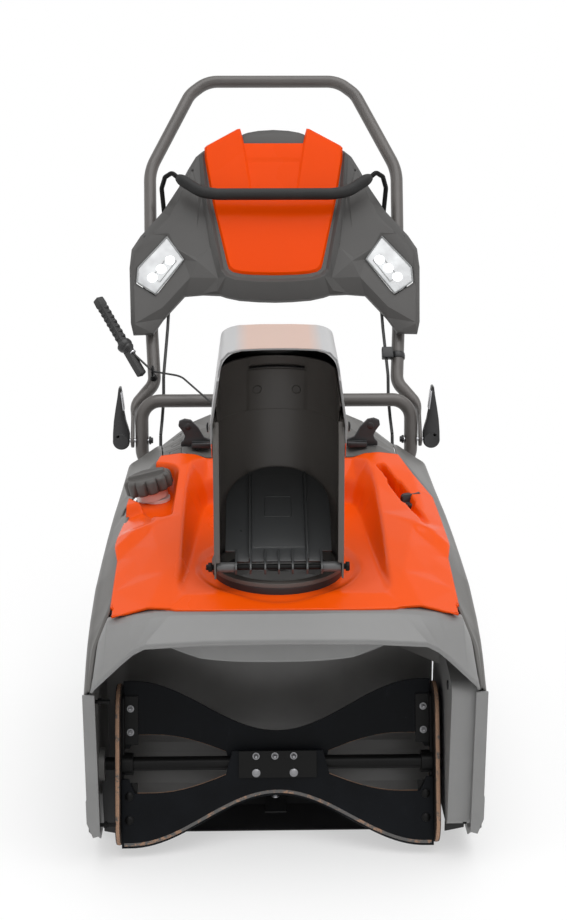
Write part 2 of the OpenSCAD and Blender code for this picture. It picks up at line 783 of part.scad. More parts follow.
// Plan of the channel: a half circle at the back and straight sides, open in front.
module channel_plan(r, front) {
  union() {
    circle(r);
    translate([-r, front - chute_y]) square([2 * r, chute_y - front]);
  }
}

module chute() {
  color(dark_grey) difference() {
    union() {
      translate([chute_x, chute_y, 0]) {
        translate([0, 0, base_z - 12]) cylinder(r = throat_r - fit, h = 13);
        translate([0, 0, base_z]) cylinder(r = chute_r + 6, h = 6);
        translate([0, 0, base_z]) cylinder(r = chute_r, h = wall_z - base_z);
        translate([0, 0, wall_z]) linear_extrude(pivot_z + 4 - wall_z)
          channel_plan(chute_r, pin_y - 9);
      }
      // Pivot ears and studs of the deflector
      for (side = [-1, 1]) translate([chute_x, 0, 0]) mirror([side < 0 ? 1 : 0, 0, 0]) {
        slab(chute_r - chute_t, chute_r) hull() {
          translate([pivot_y, pivot_z]) circle(12);
          translate([pivot_y, pivot_z - 30]) circle(24);
        }
        bar_x(chute_r - 1, chute_r + chute_t + hood_gap + 1.5, pivot_y, pivot_z, pin_r);
      }
    }
    translate([chute_x, chute_y, base_z + 6]) linear_extrude(300)
      channel_plan(chute_r - chute_t, pin_y - 30);
    translate([chute_x, chute_y, base_z - 20]) cylinder(r = throat_r - 2.5, h = 60);
    // Front edges sloped back from the flap's pin to the ears
    slab(-200, 200) polygon([[pin_y - 40, 440], [pin_y - 8, 452], [pivot_y - 24, 600],
      [pivot_y - 8, 660], [pin_y - 40, 660]]);
    slab(-200, 200) polygon([[pivot_y + 26, pivot_z + 4], [200, pivot_z + 4], [200, 700],
      [pivot_y + 26, 700]]);
    bar_x(-200, 200, pin_y, pin_z, pin_r + 0.02);
  }
}

module flap_pin() {
  color([0.3, 0.3, 0.31]) {
    bar_x(chute_x - 100, chute_x + 97, pin_y, pin_z, pin_r);
    for (side = [-1, 1]) bar_x(side < 0 ? chute_x - 97 : chute_x + 91.5,
      side < 0 ? chute_x - 91.5 : chute_x + 97, pin_y, pin_z, 7);
  }
}

// The flap is drawn lying flat with its pin on the X axis, then tipped to its resting slope.
module chute_flap() {
  color([0.2, 0.2, 0.2]) translate([chute_x, pin_y, pin_z]) rotate([flap_slope, 0, 0])
    difference() {
      union() {
        translate([0, 0, -3]) linear_extrude(3) hull() {
          translate([0, flap_l - flap_half]) circle(flap_half);
          translate([-flap_half, 26]) square([2 * flap_half, 10]);
        }
        translate([-60, 9, -3]) cube([120, 20, 3]);
        for (x = [-41, 39]) translate([x, 26, -1]) cube([2.4, flap_l - 40, 8]);
        // Knuckles on the pin
        for (x = [-60, -40, -20, 0, 20, 40, 57.6])
          slab(x, x + 2.4) polygon([[-10, -4], [-10, 7], [30, 7], [30, -3], [8, -10], [-4, -10]]);
        for (x = [-85.2, 60]) bar_x(x, x + 25.2, 0, 0, 7);
      }
      bar_x(-100, 100, 0, 0, pin_r + fit);
    }
}

// Outside of the deflector brought in by a distance: front view, side view and plan together.
module deflector_form(g) {
  r = chute_r + hood_gap + chute_t - g;
  top = deflector_top - 3 - g;
  front = -64 - eps * g;
  intersection() {
    translate([chute_x, -60, top]) rotate([3.4, 0, 0]) translate([0, 60, -top]) wall(-100, 190)
      hull() {
        translate([-r, 540]) square([2 * r, 92]);
        for (side = [-1, 1]) translate([side * (r - 43), top - 31]) circle(31);
        translate([-22, top - 10]) square([44, 11.4]);
      }
    slab(-160, 160) polygon([[front, 780], [20, 780], [58 - g / 2, 748 - g], [86 - g, 733 - g],
      [110 - g, 708 - g / 2], [126 - g, 674], [134.5 - g, 636], [134.5 - g, 540], [front, 540]]);
    translate([chute_x, chute_y, 500]) linear_extrude(300) channel_plan(r, front);
  }
}

module deflector() {
  color([0.7, 0.7, 0.7]) difference() {
    deflector_form(0);
    deflector_form(chute_t);
    // Front edges and the lower rim
    slab(-200, 200) polygon([[-70, 540], [-70, 700], [-56, 700], [pivot_y - 18, 610],
      [pivot_y - 8, 596], [200, 596], [200, 540]]);
    bar_x(-200, 200, pivot_y, pivot_z, pin_r + fit);
  }
}

// ---- chute control pod behind the chute ----

module chute_control() {
  color(black) for (side = [-1, 1]) mirror([side < 0 ? 1 : 0, 0, 0]) {
    wall(356, 362) difference() {
      polygon([[108, 486.4], [108, 497], [122, 503], [132, 520], [148, 532], [160, 531],
        [163, 520], [152, 505], [158, 494], [158, 486.4]]);
      translate([147, 519]) circle(4, $fn = 24);
    }
    translate([112, 344, 488.4]) cube([30, 34, 8]);
  }
}

// ---- handle ----

module lower_handle() {
  half = [[leg_in, fold_y - 80, 150], [leg_in, fold_y - 37, 285],
    [leg_half, fold_y - 3, fold_z - 22], [leg_half, fold_y + 15, fold_z + 70]];
  route = concat(half, [for (p = reversed(half)) [-p[0], p[1], p[2]]]);
  color([0.37, 0.35, 0.34]) difference() {
    sweep(rounded(route, 34, 4), tube_r, [0, 1, 0]);
    bar_x(-300, 300, fold_y, fold_z, pin_r + 0.02);
  }
}

module upper_handle() {
  half = [[plate_cx + 3, 52], [plate_cx + 2, 70], [223, 112], [230, 215], [handle_half, 560], [164, 732],
    [130, handle_l]];
  route = [for (side = [1, -1], p = side > 0 ? half : reversed(half)) hp(side * p[0], p[1])];
  color([0.37, 0.35, 0.34]) {
    sweep(rounded(route, 46, 4), tube_r, handle_out);
    // Flattened ends on the fold bolts
    for (side = [-1, 1]) mirror([side < 0 ? 1 : 0, 0, 0]) difference() {
      slab(plate_cx, plate_cx + 6) hull() {
        translate([fold_y, fold_z]) circle(13);
        translate([fold_y, fold_z] + 56 * [handle_dir[1], handle_dir[2]]) circle(13);
      }
      bar_x(leg_half, plate_cx + 20, fold_y, fold_z, pin_r + fit);
    }
  }
}

module clamp_bolts() {
  color(steel) for (side = [-1, 1]) mirror([side < 0 ? 1 : 0, 0, 0]) {
    bar_x(leg_half - 20, cam_x + 3.5, fold_y, fold_z, pin_r);
    hex_x(leg_half - 20, leg_half - tube_r - 0.5, fold_y, fold_z, 13);
    translate([cam_x, fold_y - 8, fold_z]) rotate([-90, 0, 0]) cylinder(r = 3, h = 16);
  }
}

module cam_lever(side) {
  color(black) mirror([side < 0 ? 1 : 0, 0, 0]) difference() {
    wall(fold_y - 8, fold_y + 8) {
      hull() {
        translate([cam_x, fold_z]) circle(15.4);
        translate([cam_x, fold_z + 34]) circle(9);
      }
      hull() {
        translate([cam_x, fold_z + 34]) circle(9);
        translate([cam_x - 4, fold_z + 97]) circle(4);
      }
    }
    wall(fold_y - 20, fold_y + 20) translate([cam_x, fold_z]) circle(3 + fit);
    // Slot the bolt swings in as the lever is thrown
    translate([cam_x - 41, fold_y - 4.5, fold_z - 30]) cube([46.6, 9, 35.6]);
    // Finger hollow on the inner side
    translate([cam_x - 19, fold_y - 5, fold_z + 44]) cube([11, 10, 40]);
  }
}

module cam_lever_left() { cam_lever(-1); }
module cam_lever_right() { cam_lever(1); }

// Children drawn as (x, s) in the handle's own plane, stood n0 to n1 in front of it.
module plate(n0, n1) {
  translate([0, fold_y, fold_z]) rotate([90 - handle_lean, 0, 0]) translate([0, 0, n0])
    linear_extrude(n1 - n0, convexity = 6) children();
}

dash_front = 40;
cover_t = 8;
dash_half = [[90, 619], [134, 575], [157, 558], [211, 456], [271, 360], [273, 319], [269, 220],
  [265, 186], [225, 186], [207, 216], [182, 257], [112, 268], [65, 260], [0, 256]];
lamp = [[202, 385], [168, 340], [222, 267], [256, 296], [254, 326]];
bail_s = 372;

module dash_outline() {
  polygon(concat(dash_half, [for (i = [len(dash_half) - 2 : -1 : 0])
    [-dash_half[i][0], dash_half[i][1]]]));
}

module lamp_outline(side) {
  polygon([for (p = side > 0 ? reversed(lamp) : lamp) [side * p[0], p[1]]]);
}

module dash_panel() {
  color(dark_grey) {
    difference() {
      plate(dash_front - 22, dash_front) dash_outline();
      plate(dash_front - 23, dash_front - panel_t) offset(delta = -panel_t) dash_outline();
      for (side = [-1, 1]) plate(dash_front - 1.5, dash_front + 1) lamp_outline(side);
    }
    // Rim that frames the cover, and the rounded brow below it
    plate(dash_front - eps, dash_front + cover_t + 2) difference() {
      intersection() {
        offset(r = 11) cover_panel();
        translate([-200, 200]) square([400, 345]);
      }
      offset(r = 2) hull() cover_panel();
    }
    hull() {
      plate(dash_front - 20, dash_front - 12) polygon([[-98, 276], [98, 276], [88, 258],
        [50, 252], [-50, 252], [-88, 258]]);
      plate(dash_front - eps, dash_front + cover_t) polygon([[-82, 290], [82, 290], [76, 284],
        [40, 280], [-40, 280], [-76, 284]]);
    }
    // Saddles that hold the panel on the handle tubes
    for (side = [-1, 1]) {
      plate(tube_r + seat, dash_front - 2) translate([side * 234 - 12, 290]) square([24, 30]);
      plate(tube_r + seat, dash_front - 2) translate([side * 238 - 8, 376]) square([16, 24]);
    }
    // Lugs the bail turns in
    for (side = [-1, 1]) mirror([side < 0 ? 1 : 0, 0, 0]) difference() {
      plate(-8, dash_front - 2) translate([214.5, bail_s - 10]) square([4, 20]);
      translate(hp(0, bail_s, 2)) rotate([0, 90, 0]) cylinder(r = 4.5 + fit, h = 300);
    }
  }
}

// Orange cover: a tapering panel with a raised fin along each side of its upper half.
module cover_panel() {
  polygon([[-66, 617], [-131, 568], [-80, 310], [-70, 300], [0, 297], [70, 300], [80, 310],
    [131, 568], [66, 617], [58, 617], [52, 583], [-52, 583], [-58, 617]]);
}

module dash_cover() {
  color(orange) {
    plate(dash_front + seat, dash_front + cover_t) cover_panel();
    for (side = [-1, 1]) mirror([side < 0 ? 1 : 0, 0, 0])
      plate(dash_front + cover_t - eps, dash_front + cover_t + 3) offset(delta = -1.5)
        polygon([[66, 617], [131, 568], [112, 472], [96, 464], [40, 464], [52, 583], [58, 617]]);
  }
}

module headlight(side) {
  color([0.95, 0.97, 1]) plate(dash_front - 1.5 + seat, dash_front + 5)
    offset(delta = -seat) lamp_outline(side);
}

module headlight_left() { headlight(-1); }
module headlight_right() { headlight(1); }

grip_n = 80;

bail_r = 4.5;
grip_end = [182, 497.5, grip_n];
grip_half = [[138, 466, grip_n], [108, 461, grip_n]];

function both_sides(half) =
  [for (side = [1, -1], p = side > 0 ? half : reversed(half)) hp(side * p[0], p[1], p[2])];

module bail() {
  half = concat([[221.5, bail_s, 2], [205, bail_s, 2], [210, 458, 6], [214, 498, 38],
    [206, 506, 66], [192, 507, grip_n]], [grip_end], grip_half);
  color([0.1, 0.1, 0.11])
    sweep(rounded(both_sides(half), 9, 3), bail_r, unit([0, 1, 1]), 12);
}

// Foam sleeve over the whole bent middle of the bail.
module bail_grip() {
  route = rounded(both_sides(concat([grip_end], grip_half)), 9, 3);
  n = len(route) - 1;
  bore = concat([route[0] + unit(route[0] - route[1])], [for (i = [1 : n - 1]) route[i]],
    [route[n] + unit(route[n] - route[n - 1])]);
  color(black) difference() {
    sweep(route, 11, unit([0, 1, 1]), 20);
    sweep(bore, bail_r + 0.02, unit([0, 1, 1]), 12);
  }
}

// ---- starter grip, its rope and the cables ----

guide_at = [-223, 691, 564];
grip_a = [-329, 759, 655];
grip_b = [-244, 667, 532];
grip_mid = mix(grip_a, grip_b, 0.62);

module rope_guide() {
  color([0.15, 0.15, 0.16]) difference() {
    union() {
      translate(hp(-224, 118, tube_r + 0.2)) rotate([90 - handle_lean, 0, 0]) {
        cylinder(r = 7, h = 5);
        cylinder(r = 3, h = 30);
      }
      translate(hp(-224, 118, tube_r + 30)) rotate([0, 90, 0]) translate([0, 0, -2.5])
        cylinder(r = 11, h = 5);
    }
    translate(hp(-224, 118, tube_r + 30)) rotate([0, 90, 0]) translate([0, 0, -10])
      cylinder(r = 6, h = 20);
  }
}

// Points an axis along a direction.
module along(from, to) {
  d = to - from;
  translate(from) rotate([0, acos(d[2] / norm(d)), atan2(d[1], d[0])]) children();
}

module starter_grip() {
  l = norm(grip_b - grip_a);
  eye = hp(-224, 118, tube_r + 30);
  color(black) {
    along(grip_a, grip_b) difference() {
      union() {
        cylinder(r = 9, h = l);
        for (z = [6 : 11 : 90]) translate([0, 0, z]) cylinder(r = 11, h = 5);
        translate([0, 0, 96]) cylinder(r = 12, h = 24);
      }
    }
    along(grip_mid, eye) cylinder(r1 = 9, r2 = 5, h = 24);
    along(grip_mid, eye) cylinder(r = 1.8, h = norm(eye - grip_mid) - 6);
  }
}

module starter_rope() {
  eye = hp(-224, 118, tube_r + 30);
  color(black) sweep(rounded([eye, [-172, 640, 536], [-114, 545, 510], [-64, 468, 499],
    [-60, 452, 494.3]], 40, 2), 1.8, [1, 0, 0], 8);
}

module handle_cables() {
  color(black) for (side = [-1, 1])
    sweep(rounded([hp(side * 198, 262, dash_front - 25 - seat), hp(side * 200, 215, 13.6),
      hp(side * 206, 120, 14),
      hp(side * 206, 80, 2), hp(side * (cable_x - 2), 40, 2), hp(side * cable_x, 8, 6)], 30, 2), 3,
      [1, 0, 0], 8);
}

module lower_cables() {
  color(black) for (side = [-1, 1])
    sweep(rounded([hp(side * cable_x, 8 - 4 * seat, 6), hp(side * cable_x, -14, 0),
      [side * (cable_x - 14), 600, 350], [side * (leg_in - 30), 580, 240],
      [side * (leg_in - 50), 524, 150]], 30, 2), 3, [1, 0, 0], 8);
}

// ---- small controls ----

module fuel_cap() {
  color([0.3, 0.29, 0.28]) translate(cap_at) rotate([0, cap_tilt, 0]) difference() {
    union() {
      cylinder(r = cap_r, h = 20);
      translate([0, 0, 20]) cylinder(r1 = cap_r, r2 = cap_r - 6, h = 4);
      translate([-30, -6, 20]) cube([60, 12, 8]);
    }
    translate([0, 0, -eps]) cylinder(r = 25 + fit, h = 11);
    for (a = [0 : 24 : 336]) rotate(a) translate([cap_r + 1.5, 0, -eps]) cylinder(r = 4, h = 30);
  }
}

module choke_knob() {
  color(black) translate(knob_at) difference() {
    union() {
      cylinder(r = 13, h = 7);
      translate([-13, -4, 3]) cube([26, 8, 13]);
      translate([0, 0, 3]) cylinder(r = 8, h = 13);
    }
    translate([0, 0, -eps]) cylinder(r = pin_r + fit, h = 12);
  }
}

auger_housing();
housing_roof();
visor();
side_cover_left();
side_cover_right();
guard_strips();
hood();
rear_shroud();
belt_cover();
scraper_bar();
deck();
axle();
engine_block();
muffler();
recoil_housing();
fuel_tank();
filler_neck();
drive_belt();
lower_handle();
chute_ring();
chute_control();
clamp_bolts();
starter_rope();
lower_cables();
auger_shaft();
paddle_lower();
paddle_upper();
clamp_plates();
bracket_left();
bracket_right();
flight_left();
flight_right();
auger_pulley();
crankshaft();
crank_pulley();
idler_bolt();
idler_arm();
idler_pulley();
wheel_left();
tyre_left();
wheel_right();
tyre_right();
chute();
flap_pin();
chute_flap();
deflector();
upper_handle();
dash_panel();
dash_cover();
headlight_left();
headlight_right();
rope_guide();
handle_cables();
bail();
bail_grip();
cam_lever_left();
cam_lever_right();
starter_grip();
fuel_cap();
choke_knob();
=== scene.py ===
"""The looks of a walk-behind snow thrower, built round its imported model.

The design lines are in millimetres in the model's own frame: +X across the machine, +Y from the
intake back to the handle, +Z up, with the origin on the ground under the scraper.
"""
import math

import bmesh
import bpy
import numpy as np
from mathutils import Matrix, Vector, geometry


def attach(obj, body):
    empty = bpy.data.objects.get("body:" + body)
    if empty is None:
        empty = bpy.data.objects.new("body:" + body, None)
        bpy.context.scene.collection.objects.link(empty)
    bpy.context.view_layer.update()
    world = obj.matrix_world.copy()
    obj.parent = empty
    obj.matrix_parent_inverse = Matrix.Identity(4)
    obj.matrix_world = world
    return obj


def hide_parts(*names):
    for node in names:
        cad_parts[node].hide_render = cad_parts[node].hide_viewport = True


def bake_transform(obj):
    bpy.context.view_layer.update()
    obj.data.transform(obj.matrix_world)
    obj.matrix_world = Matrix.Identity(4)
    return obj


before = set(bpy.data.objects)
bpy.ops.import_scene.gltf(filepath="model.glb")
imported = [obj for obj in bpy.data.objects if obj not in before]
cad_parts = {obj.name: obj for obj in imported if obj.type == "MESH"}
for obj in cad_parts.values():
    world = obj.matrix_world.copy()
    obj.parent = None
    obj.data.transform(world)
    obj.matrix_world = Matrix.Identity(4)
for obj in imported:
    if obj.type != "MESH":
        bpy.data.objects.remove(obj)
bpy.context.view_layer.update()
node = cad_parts

# ---- camera ----
# A camera stands in front of the intake at chest height and looks down on the machine.
# Its lens length is for a 36 mm film along the picture's longer side.
camera = bpy.data.objects.new("camera", bpy.data.cameras.new("camera"))
camera.data.lens = 56.74
camera.data.sensor_width = 36.0
camera.data.clip_end = 60.0
camera.location = (-0.0414, -1.905, 1.155)
camera.rotation_euler = (math.radians(90 - 17.0), 0.0, -0.0213)
bpy.context.scene.collection.objects.link(camera)
bpy.context.scene.camera = camera


# ---- starter rope ----
# A braided polyester rope, 3.6 mm thick, runs taut from the recoil starter under the shroud up to
# the hook guide on the left handle tube. Its lower end is fixed in the starter's reel.
class Tone:
    """A number, colour or vector that varies over a surface. Numbers can be added and multiplied."""

    def __init__(self, finish, socket):
        self.finish = finish
        self.socket = socket

    def _math(self, operation, other):
        return self.finish.node("ShaderNodeMath", {"operation": operation}, {0: self, 1: other})

    def __add__(self, other):
        return self._math("ADD", other)

    def __mul__(self, other):
        return self._math("MULTIPLY", other)


class Finish:
    """One surface finish: a Principled shader whose inputs are fixed numbers or Tones."""

    def __init__(self, name, **fixed):
        self.material = bpy.data.materials.new(name)
        self.material.use_nodes = True
        self.tree = self.material.node_tree
        self.shader = self.tree.nodes["Principled BSDF"]
        coords = self.tree.nodes.new("ShaderNodeTexCoord")
        self.place = Tone(self, coords.outputs["Object"])
        self.facing = Tone(self, coords.outputs["Normal"])
        self.set(**fixed)

    def node(self, kind, settings, values, output=0):
        """Adds a node with its settings and inputs, and gives one of its outputs."""
        made = self.tree.nodes.new(kind)
        for key, value in settings.items():
            setattr(made, key, value)
        for key, value in values.items():
            if isinstance(value, Tone):
                self.tree.links.new(value.socket, made.inputs[key])
            else:
                made.inputs[key].default_value = value
        return Tone(self, made.outputs[output])

    def set(self, **inputs):
        """Sets the shader's inputs, whose names have underscores for spaces here."""
        for key, value in inputs.items():
            socket = self.shader.inputs[key.replace("_", " ")]
            if isinstance(value, Tone):
                self.tree.links.new(value.socket, socket)
            elif isinstance(value, tuple) and len(value) == 3:
                socket.default_value = (*value, 1.0)
            else:
                socket.default_value = value

    def noise(self, scale, detail=3.0, rough=0.55, stretch=(1, 1, 1)):
        """Clouds all over the surface, as many to the metre as the scale says."""
        where = self.node("ShaderNodeMapping", {}, {"Vector": self.place, "Scale": stretch})
        return self.node("ShaderNodeTexNoise", {}, {"Vector": where, "Scale": scale,
                                                   "Detail": detail, "Roughness": rough})

    def across(self, axis):
        """One coordinate of the surface, in metres."""
        return self.node("ShaderNodeSeparateXYZ", {}, {0: self.place}, output="XYZ".index(axis))

    def ramp(self, value, low=0.3, high=0.7, start=0.0, end=1.0):
        """The value spread from low..high, which suits noise, to start..end, held at both ends."""
        return self.node("ShaderNodeMapRange", {}, {"Value": value, "From Min": low,
                                                    "From Max": high, "To Min": start,
                                                    "To Max": end})

    def blend(self, share, first, second):
        """A colour between two, by a share from 0 to 1."""
        def colour(c):
            return c if isinstance(c, Tone) else (*c, 1.0)
        return self.node("ShaderNodeMix", {"data_type": "RGBA"},
                         {0: share, 6: colour(first), 7: colour(second)}, output=2)

    def bump(self, height, depth, strength=1.0, edge=0.0):
        """Sets the normal from a height in metres, over edges rounded to a radius."""
        values = {"Height": height, "Distance": depth, "Strength": strength}
        if edge:
            values["Normal"] = self.node("ShaderNodeBevel", {"samples": 4}, {"Radius": edge})
        self.set(Normal=self.node("ShaderNodeBump", {}, values))


def unit(v):
    """A direction with a length of one."""
    return v / np.linalg.norm(v)


def rounded(route, radius, steps=8):
    """A route of points with each corner turned on a radius."""
    route = [np.array(p, float) for p in route]
    out = [route[0]]
    for a, b, c in zip(route, route[1:], route[2:]):
        u, w = unit(b - a), unit(c - b)
        turn = math.acos(np.clip(u @ w, -1, 1))
        if turn < 0.02:
            out.append(b)
            continue
        side = unit(w - u)
        centre = b + side * radius / math.cos(turn / 2)
        for i in range(steps + 1):
            t = turn * (i / steps - 0.5)
            out.append(centre - radius * (side * math.cos(t) - unit(u + w) * math.sin(t)))
    return np.array(out + [route[-1]])


def placed(name, mesh, sharp=None):
    """Puts a mesh in the scene, smooth except at edges sharper than an angle in degrees."""
    if sharp:
        mesh.shade_smooth()
        mesh.set_sharp_from_angle(angle=math.radians(sharp))
    piece = bpy.data.objects.new(name, mesh)
    bpy.context.scene.collection.objects.link(piece)
    return piece


def drawn(name, points, faces, sharp=35.0):
    """A mesh piece through points in millimetres."""
    mesh = bpy.data.meshes.new(name)
    mesh.from_pydata((np.asarray(points, float) / 1000).tolist(), [], faces)
    return placed(name, mesh, sharp)


def swept(name, route, radius, sides=20, flat=1.0, about=(0, 0, 1), spread=1.0):
    """A bar along a route. Its radius may change along it, and so may the shares of that
    radius which it keeps along a chosen direction and across it."""
    route = np.array(route, float)
    n = len(route)
    radius, flat, spread = (np.broadcast_to(value, n) for value in (radius, flat, spread))
    angle = np.linspace(0, 2 * math.pi, sides, endpoint=False)
    points, side = [], np.array(about, float)
    for i in range(n):
        t = unit(route[min(i + 1, n - 1)] - route[max(i - 1, 0)])
        side = unit(side - (side @ t) * t)
        other = np.cross(t, side)
        ring = np.outer(np.cos(angle) * flat[i], side) + np.outer(np.sin(angle) * spread[i], other)
        points.append(route[i] + radius[i] * ring)
    points = np.concatenate(points)
    faces = [(i * sides + k, (i + 1) * sides + k, (i + 1) * sides + (k + 1) % sides,
              i * sides + (k + 1) % sides) for i in range(n - 1) for k in range(sides)]
    faces += [tuple(range(sides)), tuple(range(n * sides - 1, (n - 1) * sides - 1, -1))]
    return drawn(name, points, faces)


def fit(piece, body, slot, material, *replaced):
    """Fixes a finished piece to its body, if it rides on one, and gives it its finish."""
    piece.data.materials.clear()
    piece.data.materials.append(material)
    if body:
        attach(piece, body)
    if replaced:
        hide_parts(*replaced)
    return piece


def tint(colour, share, more=0.0):
    """A colour made darker or paler."""
    return tuple(min(1.0, c * share + more) for c in colour)


def braid(name, colour, pitch):
    """A braided jacket: two sets of strands that cross along the line of the rope."""
    finish = Finish(name, IOR=1.45, Roughness=0.6)
    strand = finish.node("ShaderNodeTexWave", {"bands_direction": "DIAGONAL"},
                         {"Vector": finish.place, "Scale": pitch, "Distortion": 0.6})
    finish.set(Base_Color=finish.blend(strand, colour, tint(colour, 2.2, 0.004)))
    finish.bump(strand, 0.0003, 0.6)
    return finish.material


rope_line = rounded([(-224, 661.845, 539.71), (-172, 640, 536), (-114, 545, 510), (-64, 468, 499),
                     (-60, 452, 494.3)], 40)
rope = swept("rope", rope_line, 1.8, 12, about=(1, 0, 0))
fit(rope, None, "belt_rubber", braid("rope_braid", (0.012, 0.012, 0.012), 420), "starter_rope")
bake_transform(rope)

# ---- studio ----
# The machine stands on a white floor under large soft lamps, and anything that mirrors its
# surroundings sees the same white. The floor keeps the machine's soft contact shadow.
def sees_white(tree):
    """A socket that is 1 for the camera and for mirrors and glass, and 0 for everything else."""
    ray = tree.nodes.new("ShaderNodeLightPath")
    seen = ray.outputs["Is Camera Ray"]
    for other in ("Is Glossy Ray", "Is Transmission Ray"):
        most = tree.nodes.new("ShaderNodeMath")
        most.operation = "MAXIMUM"
        tree.links.new(seen, most.inputs[0])
        tree.links.new(ray.outputs[other], most.inputs[1])
        seen = most.outputs[0]
    return seen


floor_half, floor_level = 14000, -0.6
floor = drawn("floor", [(x * floor_half, y * floor_half, floor_level)
                        for x, y in ((-1, -1), (1, -1), (1, 1), (-1, 1))], [(0, 1, 2, 3)])
floor_white = bpy.data.materials.new("floor_white")
floor_white.use_nodes = True
tree = floor_white.node_tree
tree.nodes.clear()
far_out = tree.nodes.new("ShaderNodeVectorMath")
far_out.operation = "LENGTH"
where = tree.nodes.new("ShaderNodeTexCoord")
tree.links.new(where.outputs["Object"], far_out.inputs[0])
share = tree.nodes.new("ShaderNodeMapRange")
share.interpolation_type = "SMOOTHSTEP"
for key, value in (("From Min", 0.55), ("From Max", 1.5), ("To Min", 0.5), ("To Max", 1.0)):
    share.inputs[key].default_value = value
tree.links.new(far_out.outputs["Value"], share.inputs["Value"])
white_share = tree.nodes.new("ShaderNodeMath")
white_share.operation = "MULTIPLY"
tree.links.new(sees_white(tree), white_share.inputs[0])
tree.links.new(share.outputs["Result"], white_share.inputs[1])
lit = tree.nodes.new("ShaderNodeBsdfDiffuse")
lit.inputs["Color"].default_value = (0.93, 0.93, 0.93, 1.0)
glow = tree.nodes.new("ShaderNodeEmission")
both = tree.nodes.new("ShaderNodeMixShader")
out = tree.nodes.new("ShaderNodeOutputMaterial")
tree.links.new(white_share.outputs[0], both.inputs["Fac"])
tree.links.new(lit.outputs[0], both.inputs[1])
tree.links.new(glow.outputs[0], both.inputs[2])
tree.links.new(both.outputs[0], out.inputs["Surface"])
floor.data.materials.append(floor_white)

world = bpy.data.worlds.new("studio")
bpy.context.scene.world = world
world.use_nodes = True
sky = world.node_tree
strength = sky.nodes.new("ShaderNodeMapRange")
strength.inputs["To Min"].default_value = 0.55
strength.inputs["To Max"].default_value = 1.0
sky.links.new(sees_white(sky), strength.inputs["Value"])
sky.links.new(strength.outputs["Result"], sky.nodes["Background"].inputs["Strength"])
sky.nodes["Background"].inputs["Color"].default_value = (1, 1, 1, 1)

for name, from_side, strength_there, softness in (
        ("overhead", (0.12, -0.22, 1.0), 1.75, 58), ("left", (-1.0, -0.35, 0.75), 0.18, 40),
        ("right", (1.0, -0.35, 0.75), 0.18, 40), ("front", (0.0, -1.0, 0.45), 0.12, 40)):
    light = bpy.data.lights.new(name, "SUN")
    light.energy = strength_there
    light.angle = math.radians(softness)
    lamp = bpy.data.objects.new(name, light)
    lamp.rotation_euler = Vector(from_side).to_track_quat("Z", "Y").to_euler()
    bpy.context.scene.collection.objects.link(lamp)
bpy.context.scene.view_settings.view_transform = "Standard"


# ---- intake housing ----
# The housing is folded and welded from steel sheet, and powder coated in dark grey. Snow has
# rubbed the paint to a shine along the scroll, and the roof carries the chute's throat.
def painted(name, colour, rough, worn=0.3, scratches=(1, 1, 1), shine=0.5):
    """Paint on steel: faintly cloudy, with small chips where it has worn."""
    finish = Finish(name, IOR=1.48, Specular_IOR_Level=shine)
    clouds = finish.noise(9.0, 4.0)
    chips = finish.ramp(finish.noise(120.0, 6.0, 0.75, scratches), 0.66, 0.76)
    base = finish.blend(finish.ramp(clouds), tint(colour, 0.85), tint(colour, 1.12))
    finish.set(Base_Color=finish.blend(chips * worn, base, tint(colour, 2.0, 0.02)))
    finish.set(Roughness=finish.ramp(clouds, start=rough - 0.05, end=rough + 0.06))
    finish.bump(finish.noise(450.0, 2.0), 0.000004, 0.4, 0.0008)
    return finish.material


def dress(material, *names):
    """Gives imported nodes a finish."""
    for name in names:
        node[name].data.materials.clear()
        node[name].data.materials.append(material)


housing_paint = painted("housing_paint", (0.125, 0.122, 0.118), 0.32, worn=0.25,
                        scratches=(0.12, 1, 1))
dress(housing_paint, "auger_housing", "housing_roof")


def lathe(name, profile, at, axis=(0, 0, 1), turns=32):
    """A turned piece: (radius, height) pairs of its outline about an axis through a place."""
    turn = Vector((0, 0, 1)).rotation_difference(Vector(axis)).to_matrix()
    points, faces = [], []
    for radius, height in profile:
        for k in range(turns):
            a = 2 * math.pi * k / turns
            points.append(Vector(at) + turn @ Vector((radius * math.cos(a), radius * math.sin(a),
                                                      height)))
    for i in range(len(profile) - 1):
        for k in range(turns):
            j = (k + 1) % turns
            faces.append((i * turns + k, i * turns + j, (i + 1) * turns + j, (i + 1) * turns + k))
    faces.append(tuple(range(turns - 1, -1, -1)))
    faces.append(tuple(range((len(profile) - 1) * turns, len(profile) * turns)))
    return drawn(name, points, faces)


def finished(name, work, sharp=None):
    """Makes a piece of a mesh that was worked on."""
    mesh = bpy.data.meshes.new(name)
    work.to_mesh(mesh)
    work.free()
    return placed(name, mesh, sharp)


def joined(name, pieces):
    """Puts like pieces together in one mesh."""
    work = bmesh.new()
    for piece in pieces:
        work.from_mesh(piece.data)
        bpy.data.objects.remove(piece)
    return finished(name, work)


def bare(name, colour, rough):
    """Zinc-plated or brushed steel."""
    finish = Finish(name, Metallic=1.0)
    brush = finish.noise(900.0, 3.0, 0.6, (0.06, 1, 1))
    finish.set(Base_Color=finish.blend(finish.ramp(brush), tint(colour, 0.8), colour))
    finish.set(Roughness=finish.ramp(brush, start=rough - 0.06, end=rough + 0.08))
    finish.bump(brush, 0.00003, 0.4, 0.0005)
    return finish.material


plated = bare("plated_steel", (0.55, 0.55, 0.57), 0.28)


